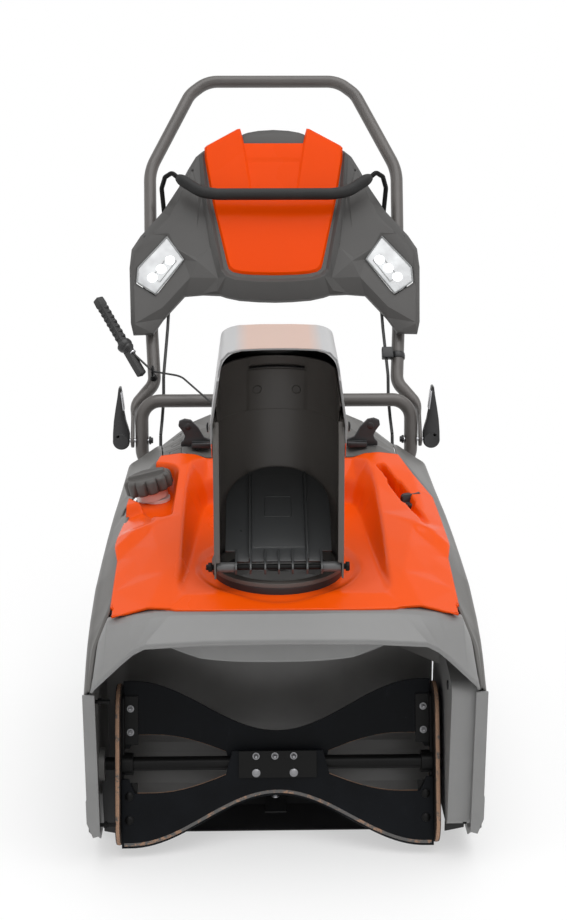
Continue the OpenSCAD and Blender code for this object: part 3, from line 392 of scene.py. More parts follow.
def bolt(at, axis, size, high=None):
    """A hex screw head with its washer, in plated steel."""
    high = high or size * 0.32
    washer = lathe("washer", [(size * 0.3, 0), (size * 0.78, 0), (size * 0.82, 0.5),
                              (size * 0.78, 1.2), (size * 0.3, 1.2)], at, axis, 28)
    head = lathe("head", [(size * 0.2, 1.0), (size * 0.55, 1.0), (size * 0.577, 1.4),
                          (size * 0.577, 1.2 + high * 0.8), (size * 0.5, 1.2 + high),
                          (size * 0.1, 1.2 + high)], at, axis, 6)
    return [washer, head]


# ---- scraper ----
# A black polypropylene bar under the intake's mouth that rides on the ground. A lug in its
# middle and three bright screws hold it to the housing.
def moulded(name, colour, rough, edge=1.2, coat=0.0, cloud=0.07, scuff=0.25, shine=0.5):
    """Grained polypropylene: even, faintly cloudy, with a few light scuffs."""
    finish = Finish(name, IOR=1.46, Coat_Weight=coat, Coat_Roughness=0.12,
                    Specular_IOR_Level=shine)
    clouds = finish.noise(7.0, 4.0)
    scuffs = finish.ramp(finish.noise(34.0, 8.0, 0.7, (1, 1, 0.25)), 0.60, 0.78)
    base = finish.blend(finish.ramp(clouds), tint(colour, 1 - cloud), tint(colour, 1 + cloud))
    finish.set(Base_Color=finish.blend(scuffs * scuff, base, tint(colour, 1.25, 0.01)))
    finish.set(Roughness=finish.ramp(clouds, start=rough - 0.04, end=rough + 0.05) + scuffs * 0.05)
    finish.bump(finish.noise(2600.0, 2.0, 0.6), 0.00006, 0.5, edge / 1000)
    return finish.material


black_moulded = moulded("black_moulded", (0.014, 0.014, 0.015), 0.40)
dress(moulded("scraper_plastic", (0.009, 0.009, 0.010), 0.42, scuff=0.5), "scraper_bar")
scraper_screws = [piece for x in (-200, -12, 176)
                  for piece in bolt((x, 51.0, 24.9), (0, -0.15, 1), 8.5)]
fit(joined("scraper_screws", scraper_screws), "chassis", "bare_steel", plated)

# ---- side flanges ----
# Two black moulded flanges stand along the feet of the side plates, behind the guard strips.
# Each is a flat plate, 3 mm thick, whose foot rises a little outward.
box_faces = [(3, 2, 1, 0), (4, 5, 6, 7), (0, 1, 5, 4), (1, 2, 6, 5), (2, 3, 7, 6), (3, 0, 4, 7)]
flanges = [drawn("flange", [(side * x, y, z) for y in (-34, -31) for x, z in
                            ((235, 12), (263, 18), (264, 118), (235, 118))],
                 box_faces) for side in (-1, 1)]
fit(joined("side_flanges", flanges), "chassis", "black_plastic", black_moulded)

# ---- guard strips ----
# A grey moulded strip trims the front edge of each side plate. A black bolt at each end holds it,
# with its head outside and its nut inside.
light_panel = moulded("light_panel", (0.205, 0.205, 0.203), 0.42)
dress(light_panel, "guard_strips")
black_paint = painted("black_paint", (0.006, 0.006, 0.006), 0.32, worn=0.12, shine=0.12)
strip_bolts = []
for side in (-1, 1):
    for high, reach in ((257, 276.5), (66, 275)):
        place = (side * (reach - 2), -96, high)
        strip_bolts.append(lathe("strip_bolt", [(2, -34), (3.2, -34), (3.2, -22), (5.2, -22),
                                                (5.2, -17), (3.2, -17), (3.2, 0), (5.4, 0),
                                                (5.4, 2.2), (4.2, 3.4), (1, 3.6)],
                                 place, (side, 0, 0), 6))
fit(joined("strip_bolts", strip_bolts), "chassis", "black_metal", black_paint)

# ---- auger shaft and its steelwork ----
# A black painted shaft turns across the intake. Two clamp plates in its middle and a bracket at
# each end hold the paddles. The bolts' heads are black and their nuts are plated.
dress(black_paint, "auger_shaft", "clamp_plates", "bracket_left", "bracket_right")


def arc(across, up, radius, start, end, count):
    """Points of a plane along an arc, from one angle to another in degrees."""
    return [(across + radius * math.cos(a), up + radius * math.sin(a))
            for a in np.radians(np.linspace(start, end, count)).tolist()]


auger_turn = math.radians(-20.0)
shaft_y, shaft_z = -24, 122


def on_auger(x, y, z):
    """A point of the auger, drawn round its own axis, in the machine's frame."""
    return (x, shaft_y + y * math.cos(auger_turn) - z * math.sin(auger_turn),
            shaft_z + y * math.sin(auger_turn) + z * math.cos(auger_turn))


def turned_with_auger(x, y, z):
    """A direction of the auger in the machine's frame."""
    origin, tip = on_auger(0, 0, 0), on_auger(x, y, z)
    return tuple(b - a for a, b in zip(origin, tip))


bracket_back, paddle_face = 7.0, 16.3
auger_bolts, heads = [], []
for half in (1, -1):
    for x in (-223, 203):
        for out in (78, 44):
            nut = on_auger(x, -half * bracket_back, -half * out)
            head = on_auger(x, -half * paddle_face, -half * out)
            auger_bolts += bolt(nut, turned_with_auger(0, half, 0), 6.5, 3.4)
            auger_bolts.append(lathe("thread", [(0.5, 0), (2.2, 0), (2.2, 10), (1.6, 10.8), (0.5, 10.8)],
                                     nut, turned_with_auger(0, half, 0), 16))
            heads.append(lathe("head", [(0.5, 0), (6.5, 0), (6.2, 1.2), (4.2, 2.6), (0.5, 3.2)],
                               head, turned_with_auger(0, -half, 0), 24))
for x, out in ((-41, 12), (-14, 12), (13, 12), (-41, -12), (13, -12)):
    face = on_auger(x, -19.7, out)
    if out > 0:
        auger_bolts += bolt(face, turned_with_auger(0, -1, 0), 6.5, 4.0)
        auger_bolts.append(lathe("thread", [(0.5, 0), (2.6, 0), (2.6, 11), (1.8, 12), (0.5, 12)],
                                 face, turned_with_auger(0, -1, 0), 16))
    else:
        auger_bolts.append(lathe("washer", [(0.5, 0), (6.0, 0), (6.0, 0.8), (5.0, 1.6), (0.5, 1.9)],
                                 face, turned_with_auger(0, -1, 0), 28))
fit(joined("paddle_bolt_heads", heads), "auger", "black_metal", black_paint)
fit(joined("auger_bolts", auger_bolts), "auger", "bare_steel",
    bare("dull_zinc", (0.26, 0.26, 0.27), 0.34))


# ---- paddles and end flights ----
# Cord-reinforced black rubber, cut from sheet. The cut edges show worn grey rubber and frayed tan
# cord, and snow and grit have scratched the faces.
def rubber(name, colour, rough, scratch=0.35):
    """Worn rubber: cloudy, with scratches along its length and pale specks."""
    finish = Finish(name, IOR=1.33, Specular_IOR_Level=0.14)
    clouds = finish.noise(11.0, 5.0)
    lines = finish.ramp(finish.noise(70.0, 8.0, 0.8, (1.0, 1.0, 0.16)), 0.60, 0.80)
    specks = finish.ramp(finish.noise(520.0, 3.0, 0.7), 0.72, 0.78)
    base = finish.blend(finish.ramp(clouds), tint(colour, 0.6), tint(colour, 1.5))
    marks = finish.blend(lines * scratch, base, tint(colour, 3, 0.012))
    finish.set(Base_Color=finish.blend(specks * scratch, marks, (0.16, 0.17, 0.18)))
    finish.set(Roughness=finish.ramp(clouds, start=rough - 0.08, end=rough + 0.1))
    finish.bump(finish.noise(700.0, 4.0, 0.65), 0.00008, 0.6, 0.0008)
    return finish.material


dress(rubber("paddle_rubber", (0.0045, 0.0052, 0.0065), 0.36, 0.5), "paddle_lower", "paddle_upper")
dress(rubber("flight_rubber", (0.012, 0.011, 0.011), 0.5), "flight_left", "flight_right")


def cut_cord(name, tan_share):
    """A cut edge of worn rubber with frayed cord in it."""
    finish = Finish(name, IOR=1.45, Roughness=0.75)
    least = 0.62 - tan_share * 0.3
    streak = finish.ramp(finish.noise(75.0, 5.0, 0.7), least, least + 0.1)
    threads = finish.noise(900.0, 3.0, 0.7)
    grey = finish.blend(threads, (0.035, 0.034, 0.033), (0.17, 0.165, 0.16))
    tan = finish.blend(threads, (0.10, 0.045, 0.022), (0.58, 0.36, 0.24))
    finish.set(Base_Color=finish.blend(streak, grey, tan))
    finish.bump(threads, 0.0005, 0.8)
    return finish.material


auger_radius, paddle_middle, paddle_half, waist = 119, -10, 223.7, 44
paddle_reach = math.sqrt(auger_radius ** 2 - paddle_face ** 2) - 0.2
paddle_cord = cut_cord("paddle_cord", 0.35)
flight_cord = cut_cord("flight_cord", 0.9)


def paddle_line(share, out, half):
    """A line in the middle of a paddle's sheet, by shares of its half length from its middle."""
    return [on_auger(paddle_middle + paddle_half * s, -13.3 * half, -o * half)
            for s, o in zip(share, out)]


share = np.linspace(-0.985, 0.985, 97)
rise = (1 - np.cos(np.pi * np.minimum(1, np.abs(share) * 1.06))) / 2
outer_edge = paddle_line(share, waist + (paddle_reach - waist) * rise - 4.4, 1)
rims = [swept("rim", outer_edge, 3.2, 14, about=(0, 1, 0), flat=1.06, spread=1.45)]
inner_rims = []
for half in (1, -1):
    for side in (-1, 1):
        share = np.linspace(0.33, 0.9, 40)
        out = 12 + 28 * np.sin(np.pi / 2 * np.minimum(1, (share - 0.3) / 0.5)) + 1.2
        inner_rims.append(swept("inner_rim", paddle_line(side * share, out, half), 3.1, 12,
                                about=(0, 1, 0), flat=1.0, spread=0.5))
fit(joined("paddle_rims", rims), "auger", "belt_rubber", paddle_cord)
fit(joined("paddle_inner_rims", inner_rims), "auger", "belt_rubber", flight_cord)

flight_end, flight_centre = 40, 74
loop = arc(0, flight_centre, flight_end, 0, 180, 19)
loop += [(-y, -z) for y, z in loop]
loop.append(loop[0])
loop = [tuple(np.array(a) + (np.array(b) - np.array(a)) * s)
        for a, b in zip(loop, loop[1:]) for s in np.linspace(0, 1, 7)[:-1]]
flight_rims = [swept("flight_rim", [on_auger(x, y, z) for y, z in loop], 3.6, 12, about=(1, 0, 0),
                     spread=0.45) for x in (-237.8, 217.8)]
fit(joined("flight_rims", flight_rims), "auger", "belt_rubber", flight_cord)

# ---- belt drive and its cover ----
# A grey moulded box keeps the snow off the V-belt on the right. A small black cap plugs a hole
# near its top.
dress(light_panel, "belt_cover")
dress(rubber("belt_rubber", (0.012, 0.012, 0.012), 0.6), "drive_belt")
cast_metal = painted("cast_metal", (0.16, 0.16, 0.165), 0.5)
dress(plated, "idler_bolt", "idler_arm", "idler_pulley", "crankshaft")
dress(cast_metal, "auger_pulley", "crank_pulley")
cover_cap = lathe("cover_cap", [(1, 0), (6.5, 0), (7, 0.6), (6.4, 1.8), (1, 2.4)], (228.2, -64, 262),
                  (-1, 0, 0), 24)
fit(cover_cap, "chassis", "black_plastic", black_moulded)

# ---- deck, engine, wheels ----
# A folded steel deck carries the engine, its recoil starter, silencer and tank under the covers,
# and the axle. Moulded rims carry solid rubber tyres.
dress(black_paint, "deck")
dress(plated, "axle")
dress(cast_metal, "engine_block")
dress(painted("silencer_metal", (0.10, 0.095, 0.09), 0.55), "muffler")
dress(black_moulded, "recoil_housing", "fuel_tank")
dress(moulded("rim_plastic", (0.5, 0.5, 0.48), 0.4), "wheel_left", "wheel_right")
dress(rubber("tyre_rubber", (0.016, 0.016, 0.016), 0.7, 0.2), "tyre_left", "tyre_right")

# ---- hood ----
# The hood is one gloss orange moulding: a flat valley round the chute, a shoulder on each side
# with a raised crease, a scoop for the fuel cap and a pocket for the choke knob.
def gloss_orange(name, colour, shine=0.22):
    """Moulded-in orange with a gloss skin: clear, saturated and nearly even."""
    finish = Finish(name, IOR=1.42, Specular_IOR_Level=shine, Coat_Weight=0.03, Coat_Roughness=0.03)
    clouds = finish.noise(5.0, 3.0)
    finish.set(Base_Color=finish.blend(finish.ramp(clouds), tint(colour, 0.96), colour))
    finish.set(Roughness=finish.ramp(clouds, start=0.24, end=0.28))
    finish.bump(finish.noise(900.0, 2.0), 0.000004, 0.3, 0.0012)
    return finish.material


orange = gloss_orange("hood_orange", (0.82, 0.082, 0.0012))
front_line = [(0, -91, 389), (100, -91, 389), (150, -89, 389), (156, -85, 390), (186, -79, 389),
              (215, -81, 382), (239.5, -87, 376)]
outer_line = [(239.5, -87, 376), (240, -60, 380), (240, -20, 387), (240, 22, 396), (240, 60, 403),
              (246, 92, 411), (246, 100, 413), (243, 141, 422), (240, 183, 431), (236, 226, 441),
              (209, 268, 466), (199, 300, 474), (191, 331, 480)]
back_line = [(0, 331, 474), (60, 331, 474), (118, 331, 475), (136, 331, 482), (160, 331, 484),
             (191, 331, 480)]
hood_creases = [
    [(0, -60, 400.5), (100, -60, 400.5), (139, -61, 400.5)],
    [(156, -84, 390.5), (147, -44, 403), (146, 22, 421), (146, 74, 434), (146, 141, 448),
     (146, 226, 464), (144, 268, 473), (139, 300, 480)],
    [(142, -55, 400), (139, 0, 402), (135, 60, 404), (130, 149, 407), (126, 224, 410),
     (123, 262, 411), (116, 284, 412), (100, 296, 412), (50, 300, 412), (0, 301, 412)],
    [(0, 309, 446), (50, 308, 446), (101, 303, 446), (122, 291, 446), (131, 264, 446)],
    [(157, -80, 392), (168, -10, 412), (182, 55, 426), (195, 112, 437)],
    [(196, 122, 440), (222, 110, 430), (243, 93, 415)],
    [(195, 105, 431), (220, 79, 415), (238, 61, 403)],
    [(205, 8, 402), (213, 50, 410)],
    [(170, 200, 455), (165, 280, 476), (215, 170, 441)],
]


def mirrored(lines):
    return lines + [[(-x, y, z) for x, y, z in line] for line in lines]


def facets(lines, x, y):
    """Heights at plan points of the flat facets that span a set of design lines."""
    points, edges = [], []
    for line in lines:
        edges += [(len(points) + i, len(points) + i + 1) for i in range(len(line) - 1)]
        points += line
    flat, _, faces, origin, _, _ = geometry.delaunay_2d_cdt(
        [Vector(p[:2]) for p in points], edges, [], 0, 0.01)
    height = [points[o[0]][2] if o else None for o in origin]
    out = np.full(x.shape, np.nan)
    for face in faces:
        if any(height[i] is None for i in face):
            continue
        (x0, y0), (x1, y1), (x2, y2) = (flat[i] for i in face)
        area = (x1 - x0) * (y2 - y0) - (x2 - x0) * (y1 - y0)
        if abs(area) < 1e-6:
            continue
        b = ((x - x0) * (y2 - y0) - (x2 - x0) * (y - y0)) / area
        c = ((x1 - x0) * (y - y0) - (x - x0) * (y1 - y0)) / area
        inside = (b >= -1e-3) & (c >= -1e-3) & (b + c <= 1.001)
        z0, z1, z2 = (height[i] for i in face)
        out[inside] = (z0 + b * (z1 - z0) + c * (z2 - z0))[inside]
    return out


def softened(grid, passes):
    """A grid of numbers with its creases filleted and its border kept."""
    for _ in range(passes):
        for axis in (0, 1):
            g = np.moveaxis(grid, axis, 0)
            g[1:-1] = (g[:-2] + 2 * g[1:-1] + g[2:]) / 4
            grid = np.moveaxis(g, 0, axis)
    return grid


def ease(t):
    """A share from 0 to 1 that starts and ends gently."""
    t = np.clip(t, 0, 1)
    return t * t * (3 - 2 * t)


def capsule(x, y, ax, ay, ra, bx, by, rb):
    """Distance outside a shape drawn round two circles."""
    t = np.clip(((x - ax) * (bx - ax) + (y - ay) * (by - ay)) / ((bx - ax) ** 2 + (by - ay) ** 2), 0, 1)
    return np.hypot(x - ax - t * (bx - ax), y - ay - t * (by - ay)) - (ra + t * (rb - ra))


def walled(piece, thick, offset=-1.0):
    """Gives a thin skin a wall and makes it smooth."""
    wall = piece.modifiers.new("wall", "SOLIDIFY")
    wall.thickness = thick / 1000
    wall.offset = offset
    depsgraph = bpy.context.evaluated_depsgraph_get()
    done = bpy.data.meshes.new_from_object(piece.evaluated_get(depsgraph))
    piece.modifiers.clear()
    piece.data = done
    piece.data.shade_smooth()
    return piece


def shell(name, x, y, z, thick, keep=None, offset=-1.0):
    """A smooth wall through a grid of points in millimetres, without those not to be kept."""
    rows, cols = x.shape
    grid = np.stack([x, y, z], axis=-1).reshape(-1, 3) / 1000
    r, c = np.meshgrid(np.arange(rows - 1), np.arange(cols - 1), indexing="ij")
    first = r * cols + c
    quads = np.stack([first, first + 1, first + 1 + cols, first + cols], axis=-1)
    if keep is not None:
        quads = quads[keep[:-1, :-1] & keep[1:, :-1] & keep[:-1, 1:] & keep[1:, 1:]]
    mesh = bpy.data.meshes.new(name)
    mesh.from_pydata(grid.tolist(), [], quads.reshape(-1, 4).tolist())
    work = bmesh.new()
    work.from_mesh(mesh)
    bmesh.ops.delete(work, geom=[v for v in work.verts if not v.link_faces], context="VERTS")
    piece = walled(finished(name, work), thick, offset)
    bpy.data.meshes.remove(mesh)
    return piece


def line_at(line, key, value, at):
    """Reads one number off a design line at a place along it."""
    order = sorted(line, key=lambda p: p[key])
    return np.interp(at, [p[key] for p in order], [p[value] for p in order])


chute_x, chute_y = -8, 40
corner_y, back_y = -87, 331
v, u = np.meshgrid(np.linspace(0, 1, 211), np.linspace(-1, 1, 261), indexing="ij")
along = corner_y + v * (back_y - corner_y)
x = u * line_at(outer_line, 1, 0, along)
near = line_at(front_line, 0, 1, np.abs(x))
y = np.maximum(near + (back_y - near) * v, near)
x = u * line_at(outer_line, 1, 0, np.where(v < 0.15, along, y))
border = [[(-px, py, pz) for px, py, pz in reversed(line)] + line[1:]
          for line in (front_line, back_line)]
lines = border + mirrored([outer_line] + hood_creases)
z = facets(lines, x, y)
z = np.where(np.isnan(z), facets(lines, np.clip(x * 0.985, -236, 236), np.clip(y, -84, 328)), z)
z = np.where(np.isnan(z), 400.0, z)
z = softened(z, 3)
# Dish round the chute, scoop for the fuel cap, ledge before it, and the knob's pocket
dish_deep, dish_radius, dish_slope = 5.5, 122, 16
from_chute = np.hypot(x - chute_x, y - chute_y)
z = z - dish_deep * ease((dish_radius - from_chute) / dish_slope)
ledge = ease((-188 - x) / 7) * ease((208 + (x + 240) * -0.45 - y) / 5) * np.clip((y - 118) / 80, 0, 1)
z = z - 17 * ledge
scoop = capsule(x, y, -203, 262, 44, -177, 152, 13)
z = z + (np.minimum(z, 430 + 0.05 * (y - 262)) - z) * ease(-scoop / 5)
z = z + (np.minimum(z, 430.7) - z) * ease(-capsule(x, y, 160, 284, 7, 214, 134, 7) / 4
                                       + ease(-capsule(x, y, 186, 216, 31, 188, 213, 31) / 4))
z = softened(z, 1)
# Its rim is turned down all round, behind the visor and inside the side covers
for fall, inset in ((1.5, 0.5), (5.0, 1.0), (30.0, 2.5)):
    x, y, z = (np.pad(grid, 1, mode="edge") for grid in (x, y, z))
    y[0, :] += inset
    y[-1, :] -= inset
    x[:, 0] += inset
    x[:, -1] -= inset
    z[-1, :] -= fall
    low_fall = min(fall, 2.0)
    z[0, :] -= np.interp(np.abs(x[0]), [152, 164, 215, 236], [fall, low_fall, low_fall, 0.2])
    z[1:-1, [0, -1]] -= fall * np.clip((y[1:-1, [0, -1]] + 62) / 30, 0.02, 1)
hole_radius, corner_x, corner_end = 90.5, 236.5, -64
keep = np.hypot(x - chute_x, y - chute_y) > hole_radius
keep &= (np.abs(x) < corner_x) | (y > corner_end)
hood = shell("hood_shell", x, y, z, 2.6, keep)
fit(hood, "chassis", "orange_panel", orange, "hood")

# ---- visor ----
# The visor is a grey moulding under the hood's front edge. Its face slopes down to a rolled lip
# and folds back at both corners; a curved apron hangs behind the lip.
visor_edges = [
    ((0, -92, 390), (0, -129, 361)), ((80, -92, 390), (110, -129, 360)),
    ((151, -91, 389), (190, -128, 355)), ((176, -89, 387), (206, -127, 346)),
    ((205, -86, 382), (222, -125, 331)), ((243, -79, 371), (246, -122, 306.5)),
    ((257.5, -67, 335), (261.5, -118, 290)), ((260.4, -60, 321), (263.5, -113, 284))]
rows = []
for upper, lower in visor_edges:
    up, low = np.array(upper), np.array(lower)
    fall = unit(low - up)
    rows.append([up + [0, 16, -3.5], up + [0, 3, -2.5]]
                + [up + (low - up) * t for t in (0.15, 0.4, 0.65, 0.88)]
                + [low - fall * 1.5, low + [0, 0.3, -1.0], low + [0, 0.6, -5.6],
                   low + [0, 2.4, -6.6], low + [0, 9, -4.0], low + [0, 20, 1.0]])
rows = np.array(rows)
rows = np.concatenate([rows[:0:-1] * [-1, 1, 1], rows])


def dense(rows, across, down, passes):
    """More points between the rows and columns of a coarse grid, with its folds softened."""
    def finer(g, axis, n):
        g = np.moveaxis(g, axis, 0)
        step = np.linalg.norm(np.diff(g, axis=0), axis=-1).reshape(len(g) - 1, -1).mean(axis=1)
        at = np.concatenate([[0], np.cumsum(step)])
        want = np.linspace(0, at[-1], n)
        flat = g.reshape(len(g), -1)
        out = np.stack([np.interp(want, at, flat[:, k]) for k in range(flat.shape[1])], axis=1)
        return np.moveaxis(out.reshape((n,) + g.shape[1:]), 0, axis)
    g = finer(finer(rows, 0, across), 1, down)
    return np.stack([softened(g[..., k].copy(), passes) for k in range(3)], axis=-1)


g = dense(rows, 481, 121, 1)
visor = shell("visor_shell", g[..., 0], g[..., 1], g[..., 2], 2.2)
fit(visor, "chassis", "light_panel", light_panel, "visor")

# Bead rolled along the lip and up both of its diagonals
lip = [low for _, low in visor_edges]
lip = [(-px, py, pz) for px, py, pz in reversed(lip)] + lip[1:]
bead = swept("visor_bead", rounded([(px, py + 2.6, pz - 5.2) for px, py, pz in lip], 12, 8), 2.3, 14,
             about=(0, 1, 0))
fit(bead, "chassis", "light_panel", light_panel)

# The apron's lower edge is an arch. Its front is flat in the middle and runs back at both ends.
apron_x, apron_half, apron_top, arch_crown, arch_fall = -12, 190, 384, 314, 34
apron = np.array([[(apron_x + apron_half * a, -96 + 30 * max(0.0, abs(a) - 0.55) / 0.45,
                    apron_top + (arch_crown + arch_fall * abs(a) ** 2.8 - apron_top) * t)
                   for t in np.linspace(0, 1, 24)] for a in np.linspace(-1, 1, 121)])
apron_skin = shell("visor_apron", apron[..., 0], apron[..., 1], apron[..., 2], 2.5)
fit(apron_skin, "chassis", "light_panel", light_panel)

# ---- side covers ----
# A tall grey cover closes each flank. Its top rolls over into a sloping shoulder that meets the
# hood and the rear shroud.
dark_panel = moulded("dark_panel", (0.108, 0.105, 0.100), 0.40, shine=0.35)
dress(dark_panel, "rear_shroud")
cover_lines = [
    (-108, 276, 62, 268, 278), (-66, 310, 30, 262, 326), (-40, 326, 26, 243, 366),
    (0, 341, 20, 237, 378), (74, 360, 20, 235, 397), (150, 371, 40, 237, 416),
    (226, 380, 56, 232, 425), (270, 384, 70, 204, 450), (310, 387, 190, 193, 460),
    (332, 388, 200, 190, 465), (345, 388, 205, 190, 476), (430, 391, 222, 196, 461),
    (543, 398, 232, 205, 434)]
for side, word in ((-1, "left"), (1, "right")):
    rows = []
    for at, top, low, inner, rise in cover_lines:
        out = 273.5 - 0.024 * max(0, at - 60)
        run = np.array([inner - out + 5, 0, rise - top])
        tall = top - low
        rows.append([np.array(p, float) for p in (
            (out, at, low), (out + 0.6, at, low + tall * 0.3), (out + 0.8, at, low + tall * 0.6),
            (out, at, top - 12), (out - 1.2, at, top - 4), (out - 4.5, at, top + 2))]
            + [np.array([out - 5, at, top]) + run * t for t in (0.12, 0.4, 0.7, 1.0)]
            + [np.array([inner - 0.6, at, rise - 3.0])])
    g = dense(np.array(rows), 241, 81, 3)
    x, y, z = side * g[..., 0], g[..., 1], g[..., 2]
    clear_of_cap = capsule(x, y, -201, 262, 45, -201, 263, 45) > 0 if side < 0 else None
    cover = shell("side_shell_" + word, x, y, z, 2.6, clear_of_cap, -side)
    fit(cover, "chassis", "dark_panel", dark_panel, "side_cover_" + word)

# ---- fuel filler and choke ----
# The tank's white neck comes up through the scoop under a black fluted cap. The choke knob sits
# in its pocket on the other side, and two black levers of the chute's lock stand behind the hood.
dress(moulded("neck_plastic", (0.72, 0.72, 0.70), 0.35), "filler_neck")
cap_place = Matrix.Translation((-204, 262, 446)) @ Matrix.Rotation(math.radians(-14), 4, "Y")


def radial(name, rings, place, waves=0, depth=0.0, sides=96):
    """A turned and fluted piece: rings of (radius, height, share of the flutes) about an axis."""
    points = []
    for radius, height, share in rings:
        for k in range(sides):
            a = 2 * math.pi * k / sides
            flute = abs(math.sin(waves * a / 2)) ** 0.5 if waves else 1.0
            r = radius - depth * share * (1 - flute)
            points.append(place @ Vector((r * math.cos(a), r * math.sin(a), height)))
    n = len(rings)
    faces = [(i * sides + k, i * sides + (k + 1) % sides, (i + 1) * sides + (k + 1) % sides,
              (i + 1) * sides + k) for i in range(n - 1) for k in range(sides)]
    faces += [tuple(range(sides - 1, -1, -1)), tuple(range((n - 1) * sides, n * sides))]
    return drawn(name, points, faces, 40)


cap = radial("cap_shell", [(26, 0.5, 0), (36.5, 0.5, 1), (38, 2, 1), (38, 18, 1), (37, 21, 0.9),
                           (34.5, 23.2, 0.5), (31, 24.0, 0), (27, 23.4, 0), (25, 22.9, 0), (8, 22.9, 0)],
             cap_place, 12, 5.5, 144)
bar = drawn("cap_bar", [cap_place @ Vector(p) for p in
                        [(-30, -6, 22), (30, -6, 22), (30, 6, 22), (-30, 6, 22),
                         (-28, -3.4, 27.6), (28, -3.4, 27.6), (28, 3.4, 27.6), (-28, 3.4, 27.6)]],
            box_faces)
cap_plastic = moulded("cap_plastic", (0.066, 0.062, 0.058), 0.5, edge=1.5)
fit(joined("fuel_cap_shell", [cap, bar]), "fuel_cap", "black_plastic", cap_plastic, "fuel_cap")

knob_place = Matrix.Translation((200, 212, 431)) @ Matrix.Rotation(math.radians(25), 4, "Z")
knob = radial("knob_skirt", [(3, 0.4, 0), (15.2, 0.4, 0), (16, 1.4, 0), (16, 7.4, 0), (15, 9, 0),
                             (12, 9.6, 0), (2, 9.6, 0)], knob_place, sides=48)
wing = drawn("knob_wing", [knob_place @ Vector((x * k, y * k, z)) for z, k in
                           ((8, 1.0), (19, 0.97), (22, 0.82)) for x, y in
                           ((-17, -3.2), (-12, -5.4), (12, -5.4), (17, -3.2), (17, 3.2), (12, 5.4),
                            (-12, 5.4), (-17, 3.2))],
             [tuple(range(7, -1, -1)), tuple(range(16, 24))]
             + [(i * 8 + k, i * 8 + (k + 1) % 8, i * 8 + 8 + (k + 1) % 8, i * 8 + 8 + k)
                for i in range(2) for k in range(8)])
fit(joined("choke_knob_shell", [knob, wing]), "choke_knob", "black_plastic", black_moulded,
    "choke_knob")


def cut(name, outline, low, high, place=Matrix.Identity(4), edge=1.0):
    """A plate cut to an outline, thickened from one level to another, with its edges rounded."""
    work = bmesh.new()
    flat, _, faces, _, _, _ = geometry.delaunay_2d_cdt(
        [Vector(p) for p in outline],
        [(i, (i + 1) % len(outline)) for i in range(len(outline))], [], 1, 0.001)
    corners = [work.verts.new((*p, low)) for p in flat]
    for face in faces:
        work.faces.new([corners[i] for i in face])
    bmesh.ops.dissolve_limit(work, angle_limit=0.01, verts=work.verts, edges=work.edges)
    grown = bmesh.ops.extrude_face_region(work, geom=list(work.faces))["geom"]
    bmesh.ops.translate(work, vec=(0, 0, high - low),
                        verts=[v for v in grown if isinstance(v, bmesh.types.BMVert)])
    bmesh.ops.recalc_face_normals(work, faces=work.faces)
    if edge:
        rim = [e for e in work.edges if e.calc_face_angle(0) > 0.7]
        bmesh.ops.bevel(work, geom=rim, offset=edge, segments=3, profile=0.5, affect="EDGES")
    work.transform(Matrix.Scale(0.001, 4) @ place)
    return finished(name, work, 40)


def facing_x(x, way=1):
    """A place for a plate that faces along X. Its outline is given by (y, z)."""
    return Matrix(((0, 0, way, x), (1, 0, 0, 0), (0, 1, 0, 0), (0, 0, 0, 1)))


stand = Matrix.Translation((0, 362, 0)) @ Matrix.Rotation(math.radians(90), 4, "X")
lever_outline = [(108, 487), (108, 497), (122, 503), (131, 519), (143, 531.5), (153, 533.5),
                 (162, 530), (163.5, 522), (157, 513), (153, 505), (155, 499), (160, 494), (160, 487)]
lever_half = []
for side in (-1, 1):
    outline = [(side * x, z) for x, z in lever_outline]
    lever_half.append(cut("lock_lever", outline, -0.5, 6.5, stand, 1.6))
    lever_half.append(radial("lever_eye", [(1, 6.4, 0), (5, 6.4, 0), (5.4, 6.9, 0), (4.2, 7.4, 0),
                                           (1, 7.4, 0)],
                             stand @ Matrix.Translation((side * 148, 521, 0)), sides=24))
    lever_half.append(cut("lever_foot", [(side * 111, 487), (side * 111, 496), (side * 142, 496),
                                         (side * 142, 487)], -16, 18, stand, 1.5))
fit(joined("chute_lock_levers", lever_half), "chassis", "black_plastic", black_moulded,
    "chute_control")

# ---- chute ----
# The chute is a grey moulded channel on a black ring. Its back is flat in the middle with a long
# slot near the top and two small round marks; its front edges lean back from the flap's pin.
dress(black_moulded, "chute_ring")
chute_plastic = moulded("chute_plastic", (0.088, 0.080, 0.073), 0.38, cloud=0.10)
dress(chute_plastic, "chute")

# Two ridges up the channel's back, and the flanges that stiffen its front edges
relief = []
for x in (-52, 36):
    relief.append(swept("back_ridge", [(x, 118.5, 425), (x, 118.5, 596)], 1.6, 10, about=(0, 1, 0)))
for side in (-1, 1):
    x = chute_x + side * 84.6
    relief.append(swept("edge_flange", rounded([(x, -52.5, 442), (x, -52.5, 455), (x, -38.5, 603),
                                                (x, -26, 634)], 10, 6), 1.6, 14, about=(0, 1, 0),
                        spread=2.6))
fit(joined("chute_relief", relief), "chute", "dark_panel", chute_plastic)

